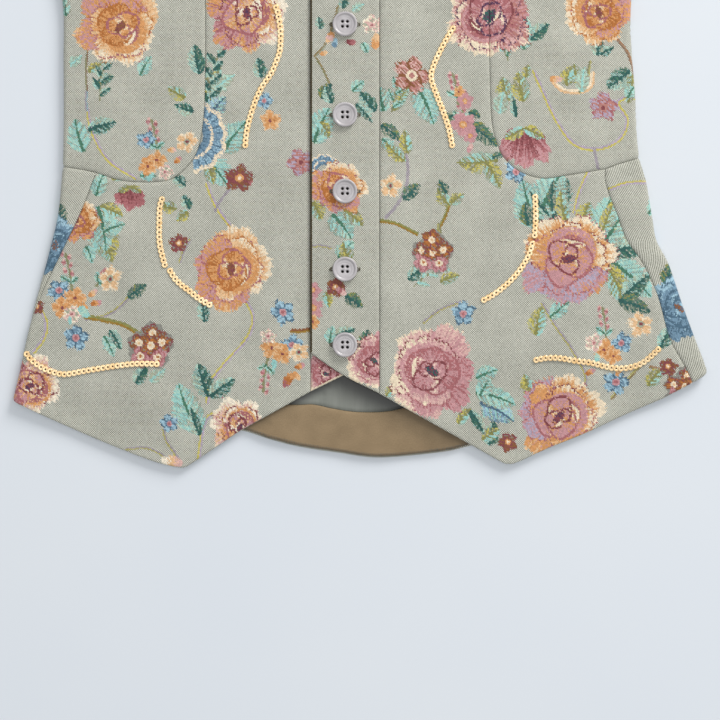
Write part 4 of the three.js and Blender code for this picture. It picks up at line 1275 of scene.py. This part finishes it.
def jacquard_look(name):
    look = Look(name, Roughness=0.85, Sheen_Weight=0.18, Sheen_Roughness=0.5, Specular_IOR_Level=0.25)
    cloth_place = look.node("Attribute", attribute_name="thread").outputs["Vector"]
    woven = look.node("Attribute", attribute_name="pattern")
    across, up, _ = look.node("SeparateXYZ", {0: cloth_place}).outputs
    column, row = look.math("DIVIDE", across, THREAD), look.math("DIVIDE", up, THREAD)
    i, j = look.math("FLOOR", column), look.math("FLOOR", row)
    cell = look.node("CombineXYZ", {0: i, 1: j}).outputs[0]
    grain = look.node("TexWhiteNoise", {"Vector": cell}, noise_dimensions="2D").outputs["Value"]
    # Dark and light threads show by turns, like the squares of a draughts board
    tie = look.math("FLOORED_MODULO", look.math("ADD", i, j), 2)
    blotch = look.noise(cloth_place, 0.035, 3)
    level = look.math("MULTIPLY_ADD", grain, 0.12, look.math("MULTIPLY_ADD", blotch, 0.24, 0.135))
    level = look.math("MULTIPLY_ADD", look.math("SUBTRACT", 1, tie), 0.54, level)
    ground = look.ramp(level, (0.12, GROUND["dark"]), (0.5, GROUND["mid"]), (0.95, GROUND["light"]))
    tint = look.math("MULTIPLY_ADD", grain, 0.34, look.math("MULTIPLY_ADD", tie, -0.14, 0.83))
    tint = look.math("MULTIPLY_ADD", blotch, 0.12, look.math("SUBTRACT", tint, 0.06))
    grey = look.node("CombineXYZ", {0: tint, 1: tint, 2: tint}).outputs[0]
    motif = look.mix(1.0, woven.outputs["Color"], grey, "MULTIPLY")
    # At half cover, only every other thread shows the motif's yarn
    shown = look.math("GREATER_THAN", woven.outputs["Alpha"], look.math("MULTIPLY_ADD", tie, 0.5, 0.25))
    look.colour(look.mix(shown, ground, motif))
    bow = lambda v: look.math("SINE", look.math("MULTIPLY", look.math("FRACT", v), math.pi))
    height = look.math("MULTIPLY", bow(column), bow(row))
    height = look.math("SUBTRACT", height, look.math("MULTIPLY", tie, 0.3))
    look.bump(height, 0.35, 0.12)
    return look.material


def lining_look():
    look = Look("lining_satin", Roughness=0.4, Specular_IOR_Level=0.45, Sheen_Weight=0.1)
    place = look.node("Attribute", attribute_name="thread").outputs["Vector"]
    streak = look.noise(look.scaled(place, (1.6, 0.05, 1)), 1.0, 3)
    cloud = look.noise(look.scaled(place, (0.1, 0.03, 1)), 1.0, 2)
    value = look.math("MULTIPLY_ADD", streak, 0.25, look.math("MULTIPLY", cloud, 0.75))
    # Painted shade: the satin goes nearly black under the fronts' hems
    look.colour(look.paint_hem_shade(look.ramp(value, (0.3, "72756D"), (0.5, "7E8179"), (0.72, "8B8D85")), 0.05))
    look.bump(look.noise(look.scaled(place, (2.4, 2.4, 1)), 1.0, 1), 0.12, 0.05)
    return look.material


def facing_look():
    look = Look("facing_cloth", Roughness=0.62, Specular_IOR_Level=0.3, Sheen_Weight=0.15)
    place = look.node("Attribute", attribute_name="thread").outputs["Vector"]
    fine = look.noise(look.scaled(place, (2.6, 1.3, 1)), 1.0, 2)
    cloud = look.noise(look.scaled(place, (0.09, 0.09, 1)), 1.0, 3)
    value = look.math("MULTIPLY_ADD", fine, 0.6, look.math("MULTIPLY", cloud, 0.4))
    # Painted shade: the facing darkens under the fronts' hems
    look.colour(look.paint_hem_shade(look.ramp(value, (0.25, "7A664B"), (0.5, "8E795B"), (0.75, "A08969")), 0.6))
    look.bump(fine, 0.3, 0.1)
    return look.material


def plain_look(name, dark, light, scale, bump, **sockets):
    """A colour that changes a little, for small hard things, thread and the floor."""
    look = Look(name, **sockets)
    place = look.node("TexCoord").outputs["Object"]
    cloud = look.noise(place, scale, 3)
    look.colour(look.ramp(cloud, (0.3, dark), (0.7, light)))
    if bump:
        look.bump(cloud, bump, 0.05)
    return look.material


# ------------------------------------------------
# Small things: stitches, sequins and buttons. A shape is its vertices, in millimetres, and its faces.
# ------------------------------------------------
def tube(line, radius, sides=6):
    """A closed tube along a line of points, thinner at its two ends."""
    line = np.array(line, float)
    ahead = np.gradient(line, axis=0)
    ahead /= np.linalg.norm(ahead, axis=1)[:, None]
    across = np.cross(ahead, (0.0, 0.0, 1.0))
    across[np.linalg.norm(across, axis=1) < 1e-6] = (1, 0, 0)
    across /= np.linalg.norm(across, axis=1)[:, None]
    up = np.cross(across, ahead)
    turn = np.arange(sides) * math.tau / sides
    wide = np.full(len(line), radius)
    wide[[0, -1]] *= 0.55
    rings = (line[:, None] + wide[:, None, None] * (np.cos(turn)[None, :, None] * across[:, None]
                                                    + np.sin(turn)[None, :, None] * up[:, None]))
    faces = [[k * sides + s, k * sides + after, (k + 1) * sides + after, (k + 1) * sides + s]
             for k in range(len(line) - 1) for s, after in enumerate([*range(1, sides), 0])]
    last = (len(line) - 1) * sides
    faces += [list(range(sides))[::-1], [last + s for s in range(sides)]]
    return rings.reshape(-1, 3), faces


def joined(name, shapes, material):
    """One piece from many shapes, which are in garment millimetres."""
    vertices, faces, base = [], [], 0
    for points, polygons in shapes:
        vertices.append(points)
        faces += [[base + i for i in polygon] for polygon in polygons]
        base += len(points)
    return mesh_piece(name, (np.vstack(vertices) + (*MIDDLE, 0)) * MM, faces, material)


SEQUIN_PITCH = 2.95
SEQUIN_TILT = 6  # degrees, so that each lies on the next
SEQUIN_PROFILE = [
    (0.5, 0.0), (0.9, -0.06), (1.4, 0.02), (1.85, 0.16), (1.9, 0.26), (1.45, 0.16), (0.9, 0.1), (0.55, 0.12),
]
SEQUIN_SIDES = 18


def sequin():
    """A cupped sequin about the origin."""
    turn = np.arange(SEQUIN_SIDES) * math.tau / SEQUIN_SIDES
    points = np.array([(r * math.cos(a), r * math.sin(a), z) for r, z in SEQUIN_PROFILE for a in turn])
    count = len(SEQUIN_PROFILE)
    faces = [[k * SEQUIN_SIDES + s, k * SEQUIN_SIDES + (s + 1) % SEQUIN_SIDES,
              (k + 1) % count * SEQUIN_SIDES + (s + 1) % SEQUIN_SIDES, (k + 1) % count * SEQUIN_SIDES + s]
             for k in range(count) for s in range(SEQUIN_SIDES)]
    return points, [face[::-1] for face in faces]


def sequins_along(points, surface):
    """Sequins and the knots that hold them, along a smooth line on the cloth."""
    line = smooth_line(np.array(points, float), 0.3)
    reach = np.concatenate([[0], np.cumsum(np.hypot(*np.diff(line, axis=0).T))])
    count = max(2, round(reach[-1] / SEQUIN_PITCH) + 1)
    sequins, knots = [], []
    for distance in np.linspace(0, reach[-1], count):
        x, y = (np.interp(distance, reach, line[:, k]) for k in (0, 1))
        ahead = [np.interp(distance + 0.5, reach, line[:, k]) - np.interp(distance - 0.5, reach, line[:, k])
                 for k in (0, 1)]
        heading, tilt = math.atan2(ahead[1], ahead[0]), math.radians(SEQUIN_TILT)
        shape, faces = SEQUIN
        turned = shape @ np.array([(math.cos(tilt), 0, -math.sin(tilt)), (0, 1, 0),
                                   (math.sin(tilt), 0, math.cos(tilt))])
        c, s = math.cos(heading), math.sin(heading)
        turned = turned @ np.array([(c, s, 0), (-s, c, 0), (0, 0, 1)])
        z = float(surface(np.array([x]), np.array([y]))[0])
        sequins.append((turned + (x, y, z + 0.4), faces))
        knots.append(tube([(x, y, z + 0.1), (x, y, z + 0.4), (x, y, z + 0.56)], 0.62, 8))
    return sequins, knots


SEQUIN = sequin()


BUTTON_SIDES = 64
# The button's upper face: distance from its middle, height
BUTTON_FACE = [
    (0, 1.6), (3.4, 1.62), (4.3, 1.66), (4.7, 1.9), (5.1, 1.66), (5.6, 1.7), (6.1, 2.2), (6.6, 2.42),
    (7.0, 2.36),
    (7.35, 2.1), (7.5, 1.7),
]
BUTTON_EXTRA_RINGS = [5.85, 6.35]  # radii of more points on the rim's slope
BUTTON_UNDER = [(7.5, 0.9), (7.1, 0.3), (5.9, 0.0)]  # its side and lower face: radius, height
BUTTON_HOLES = [(x, y) for x in (-1.5, 1.5) for y in (-1.5, 1.5)]
HOLE_SIDES = 14
HOLE_SHADE_BELOW = 0.6  # how far under the button's face the holes' painted shade starts
HOLE_RINGS = [(1.04, 0.0), (0.96, 0.16), (0.9, 0.6), (0.86, 1.3)]  # radius, depth


def circle(radius, sides, x=0.0, y=0.0):
    turn = np.arange(sides) * math.tau / sides
    return np.stack([x + radius * np.cos(turn), y + radius * np.sin(turn)], 1)


def button(name, y, seat, material, dark):
    """A button with a raised rim, a ring inside it and four shallow holes, whose floors have painted shade.
    """
    outer = circle(BUTTON_FACE[-1][0], BUTTON_SIDES)
    radii = [r for r, _ in BUTTON_FACE[1:-1]] + BUTTON_EXTRA_RINGS
    points = [circle(r, BUTTON_SIDES) for r in radii] + [circle(2.9, 24)]
    points += [circle(r, HOLE_SIDES, *hole) for hole in BUTTON_HOLES for r, _ in HOLE_RINGS]
    corners, triangles = triangulated(outer, np.vstack(points))
    away = np.hypot(*corners.T)
    heights = np.interp(away, *np.array(BUTTON_FACE).T)
    radii, depths = np.array(HOLE_RINGS[::-1]).T
    for hole in BUTTON_HOLES:
        heights -= np.interp(np.hypot(*(corners - hole).T), radii, depths)
    top = np.column_stack([corners, heights])
    ring = [int(np.argmin(np.hypot(*(corners - p).T))) for p in outer]
    below = [np.column_stack([circle(r, BUTTON_SIDES), np.full(BUTTON_SIDES, z)]) for r, z in BUTTON_UNDER]
    starts = [len(top) + k * BUTTON_SIDES for k in range(len(below))]
    rings = [ring] + [list(range(start, start + BUTTON_SIDES)) for start in starts]
    faces = triangles.tolist()
    for a, b in zip(rings, rings[1:]):
        faces += [list(corners) for corners in zip(a, b, b[1:] + b[:1], a[1:] + a[:1])]
    faces.append(rings[-1][::-1])
    piece = joined(name, [(np.vstack([top, *below]) + (0, y, seat), faces)], material)
    piece.data.materials.append(dark)
    # Painted shade: the floors of the shallow holes take the near-black material, for the shade inside them
    deep = BUTTON_FACE[0][1] - HOLE_SHADE_BELOW
    for polygon, triangle in zip(piece.data.polygons, triangles):
        if heights[triangle].max() < deep:
            polygon.material_index = 1
    return piece


BUTTONHOLE = dict(half=8.2, slit=0.3, reach=1.0, pitch=0.5, thread=0.26)


def buttonhole(name, y, surface, material):
    """A worked buttonhole: stitches side by side along both lips of the slit, and a fan at each end."""
    half, slit, reach = (BUTTONHOLE[key] for key in ("half", "slit", "reach"))
    shapes = []

    def stitch(near, far):
        places = np.array([np.add(near, (np.subtract(far, near)) * t) for t in (0, 0.25, 0.75, 1)])
        z = surface(places[:, 0], places[:, 1]) + (0.02, 0.28, 0.28, 0.02)
        shapes.append(tube(np.column_stack([places, z]), BUTTONHOLE["thread"], 5))

    for x in np.arange(-half, half + 0.01, BUTTONHOLE["pitch"]):
        for side in (-1, 1):
            stitch((x, y + side * slit), (x + 0.1, y + side * (slit + reach)))
    for sign in (-1, 1):
        for angle in range(-60, 61, 24):
            c, s = cos_sin(angle)
            stitch((sign * (half + slit * c), y + slit * s),
                   (sign * (half + (slit + reach) * c), y + (slit + reach) * s))
    return joined(name, shapes, material)


# ------------------------------------------------
# Which motifs each piece has
# ------------------------------------------------
CHART_ROWS = 470  # the chart's height, after which it is woven again
CHART_COLUMNS = 2 * CHART_MIDDLE[0]
UPPER_START = -24  # the row above which it is woven again on the fronts


def woven_again(motif, down, turned):
    """A motif some rows further down, and left for right if turned."""
    def moved(col, row):
        return CHART_COLUMNS - col if turned else col, row + down

    if "points" in motif:
        return dict(motif, points=[moved(*place) for place in motif["points"]])
    col, row = moved(motif["col"], motif["row"])
    turns = {key: 180 - motif[key] for key in ("turn", "light") if turned and key in motif}
    return dict(motif, col=col, row=row, **turns)


def middle_of(motif):
    if "points" in motif:
        return motif["points"][len(motif["points"]) // 2]
    return motif["col"], motif["row"]


CLOSE = [(draw, motif) for draw, table in MOTIFS for motif in table]
UPPER = [(draw, woven_again(motif, -k * CHART_ROWS, k % 2 == 1)) for k in (2, 1) for draw, motif in CLOSE]
UPPER = [(draw, motif) for draw, motif in UPPER if middle_of(motif)[1] < UPPER_START]
HIDDEN_BACK = [(draw, woven_again(motif, BACK_ROWS - k * CHART_ROWS, k % 2 == 0)) for k in (2, 1, 0)
               for draw, motif in CLOSE]


def cloth_places(places):
    """Chart places as places on the cloth, in millimetres."""
    places = np.array(places, float)
    return np.stack([(places[:, 0] - CHART_MIDDLE[0]) * CHART, (CHART_MIDDLE[1] - places[:, 1]) * CHART], 1)


def back_cloth_places(places):
    """The same for the back, whose sides fold onto the front."""
    places = np.array(places, float)
    under = places[:, 1] > BACK_ROWS / 2
    c, y = cloth_places(places - np.outer(under, (0, BACK_ROWS))).T
    edge = fold_start(c, y) + QUARTER_FOLD
    return np.stack([np.where(under, c, np.sign(c) * (2 * edge - np.abs(c))), y], 1)


def motifs_on(shape, motifs, cloth_of=cloth_places):
    """The motifs whose middles lie on a piece, so that none crosses a seam onto the next piece."""
    found = inside_loop(shape[0], cloth_of([middle_of(motif) for _, motif in motifs]))
    return [motif for motif, on in zip(motifs, found) if on]


# ------------------------------------------------
# The garment
# ------------------------------------------------
JACQUARD = jacquard_look("jacquard")
SATIN = lining_look()
FACING_CLOTH = facing_look()
HORN = plain_look("button_horn", "ADA8AA", "BFBBBD", 160, 0.05, Roughness=0.3, Specular_IOR_Level=0.55,
                  Coat_Weight=0.25, Coat_Roughness=0.2)
# Painted shade for the button's holes: near-black, for the shade inside them
HOLE_PAINTED_SHADE = plain_look("button_hole", "14110F", "221C18", 400, 0, Roughness=0.9)
HOLE_THREAD = plain_look("buttonhole_thread", "4B4437", "6E6755", 900, 0.3, Roughness=0.7, Sheen_Weight=0.2)
KNOT_THREAD = plain_look("knot_thread", "33241A", "55402D", 900, 0.3, Roughness=0.7, Sheen_Weight=0.2)
OVERCAST = plain_look("overcast_thread", "4A5450", "7A6750", 700, 0.3, Roughness=0.75, Sheen_Weight=0.2)
GOLD = plain_look("sequin_gold", "F3C98A", "FFE4B4", 260, 0.04, Metallic=0.25, Roughness=0.28,
                  Coat_Weight=0.4, Coat_Roughness=0.15)


def add_cloth(name, shape, lay, thickness, material, slot_name, rests_on, **options):
    piece = cloth(name + "_cloth", shape, lay, thickness, material, **options)
    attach(piece, "root")
    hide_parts(name)
    size = np.ptp(shape[0], axis=0) * MM
    signed_area(shape[0]) * MM * MM


def front_shapes():
    for side in ("right", "left"):
        yield "front_" + side, centre_panel(side), beside_band if side == "left" else front_top
        yield "side_front_" + side, side_panel(side), front_top


def edge_lines(yarn, *places):
    """Straight lines of one yarn along an edge's places."""
    return [(edge_line, dict(points=ends, yarn=yarn, reach=1.6)) for ends in zip(places, places[1:])]


# Along the buttonhole band's free edge, a dark umber line: partly the edge's own dark stitching, partly
# painted shade of the edge
BAND_EDGE = edge_lines("umber", (310.5, 0), (310.5, 300))
TIP_EDGE = edge_lines("cream", (379.5, 356.4), (343.4, 375.2), (310.5, 391.4))

for name, shape, top in front_shapes():
    add_cloth(name, shape, lay_on_front(top), SHELL, JACQUARD, "jacquard", ["back_hem_facing_cloth"],
              motifs=motifs_on(shape, UPPER + CLOSE))
add_cloth("button_band", band("right"), lay_on_front(front_top), BAND, JACQUARD, "jacquard",
          ["back_lining_cloth"], motifs=motifs_on(band("right"), UPPER + CLOSE) + TIP_EDGE)
add_cloth("buttonhole_band", band("left"), lay_on_front(band_top), BAND, JACQUARD, "jacquard",
          ["button_band_cloth"], motifs=motifs_on(band("left"), UPPER + CLOSE) + BAND_EDGE, rim_yarn="umber")
add_cloth("back", back(), lay_on_back, SHELL, JACQUARD, "jacquard", [],
          motifs=motifs_on(back(), CLOSE + HIDDEN_BACK, back_cloth_places), places_of=back_chart_places,
          outer_down=True)
INSIDE_Z = SHELL + SEAM_GAP
add_cloth("back_lining", lining(), lay_inside(INSIDE_Z, LINING), LINING, SATIN, "lining", ["back_cloth"])
add_cloth("back_hem_facing", facing(), lay_inside(INSIDE_Z, LINING), LINING, FACING_CLOTH, "facing",
          ["back_cloth"])

for index, y in enumerate(BUTTON_YS):
    low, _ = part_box("button_%d" % (index + 1))
    made = button("button_%d_detailed" % (index + 1), y, low.z / MM, HORN, HOLE_PAINTED_SHADE)
    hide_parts("button_%d" % (index + 1))
    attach(made, "root")
    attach(buttonhole("buttonhole_%d" % (index + 1), y, band_top, HOLE_THREAD), "root")

OVERCAST_HALF_WIDTH = 120
OVERCAST_PITCH = 1.1


def overcast():
    """Slanting stitches over the edge of the facing, along the back's hem."""
    line = smooth_line(np.array([(x, y + 1) for x, y in BACK_HEM], float), OVERCAST_PITCH)
    shapes = []
    for x, y in line[np.abs(line[:, 0]) <= OVERCAST_HALF_WIDTH]:
        lift = float(inside_ripples(x, y)) + INSIDE_Z + LINING
        shapes.append(tube([(x + 0.5, y + 1.7, lift - 0.15), (x + 0.3, y + 1.0, lift + 0.12),
                            (x, y - 0.3, lift + 0.05), (x - 0.15, y - 0.7, lift - 0.6)], 0.24, 5))
    return joined("facing_overcast", shapes, OVERCAST)


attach(overcast(), "root")


def string_surface(x, y):
    front = np.where(x > 0, beside_band(x, y), front_top(x, y))
    return np.where(np.abs(x) < BAND_HALF_WIDTH, band_top(x, y), front)


STRINGS_END = 330  # the height above which no string is sewn
for name, points in STRINGS.items():
    for copy, (down, turned) in enumerate([(0, False), (-CHART_ROWS, True)]):
        line = cloth_places(woven_again(dict(points=points), down, turned)["points"])
        if line[:, 1].max() > STRINGS_END:
            continue
        sequins, knots = sequins_along(line, string_surface)
        made = joined("sequins_%s_%d" % (name, copy + 1), sequins, GOLD)
        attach(made, "root")
        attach(joined("sequin_knots_%s_%d" % (name, copy + 1), knots, KNOT_THREAD), "root")

# ------------------------------------------------
# Floor, light and camera
# ------------------------------------------------
PICTURE = 720  # the view's width in squares of the chart, whose first column and row are the view's
VIEW_MIDDLE = cloth_places([(PICTURE / 2, PICTURE / 2)])[0] + MIDDLE
VIEW_WIDTH = PICTURE * CHART
LENS = 85
SENSOR = 36
CAMERA_HEIGHT = VIEW_WIDTH * LENS / SENSOR + SIDE_HEIGHT

FLOOR_REACH = 3  # metres
FLOOR_Z = -0.0003
CORNERS = [(-1, -1), (1, -1), (1, 1), (-1, 1)]
FLOOR_POINTS = [(x * FLOOR_REACH, y * FLOOR_REACH, FLOOR_Z) for x, y in CORNERS]
FLOOR_PAPER = plain_look("floor_paper", "DCE2E9", "E0E5EA", 4, 0, Roughness=0.9, Specular_IOR_Level=0.1)
floor = mesh_piece("floor", FLOOR_POINTS, [[0, 1, 2, 3]], FLOOR_PAPER)

camera = bpy.data.objects.new("camera", bpy.data.cameras.new("camera"))
camera.data.lens, camera.data.sensor_width = LENS, SENSOR
camera.location = (VIEW_MIDDLE[0] * MM, VIEW_MIDDLE[1] * MM, CAMERA_HEIGHT * MM)
bpy.context.scene.collection.objects.link(camera)
bpy.context.scene.camera = camera


LIT_POINT = Vector((0, -0.15, 0))


def soft_light(name, place, size, power, colour):
    """A round lamp that faces the lit point."""
    lamp = bpy.data.lights.new(name, "AREA")
    lamp.shape, lamp.size, lamp.energy, lamp.color = "DISK", size, power, colour
    made = bpy.data.objects.new(name, lamp)
    made.location = place
    made.rotation_euler = (LIT_POINT - made.location).to_track_quat("-Z", "Y").to_euler()
    bpy.context.scene.collection.objects.link(made)


soft_light("window", (1.4, 1.95, 1.25), 1.3, 64, (1.0, 0.985, 0.965))
soft_light("sky_fill", (0.1, -0.4, 2.2), 1.6, 12, (1.0, 1.0, 1.0))
world = bpy.data.worlds.new("studio")
world.use_nodes = True
world.node_tree.nodes["Background"].inputs["Color"].default_value = (0.97, 0.985, 1.0, 1)
world.node_tree.nodes["Background"].inputs["Strength"].default_value = 0.49
bpy.context.scene.world = world
bpy.context.scene.view_settings.view_transform = "Standard"
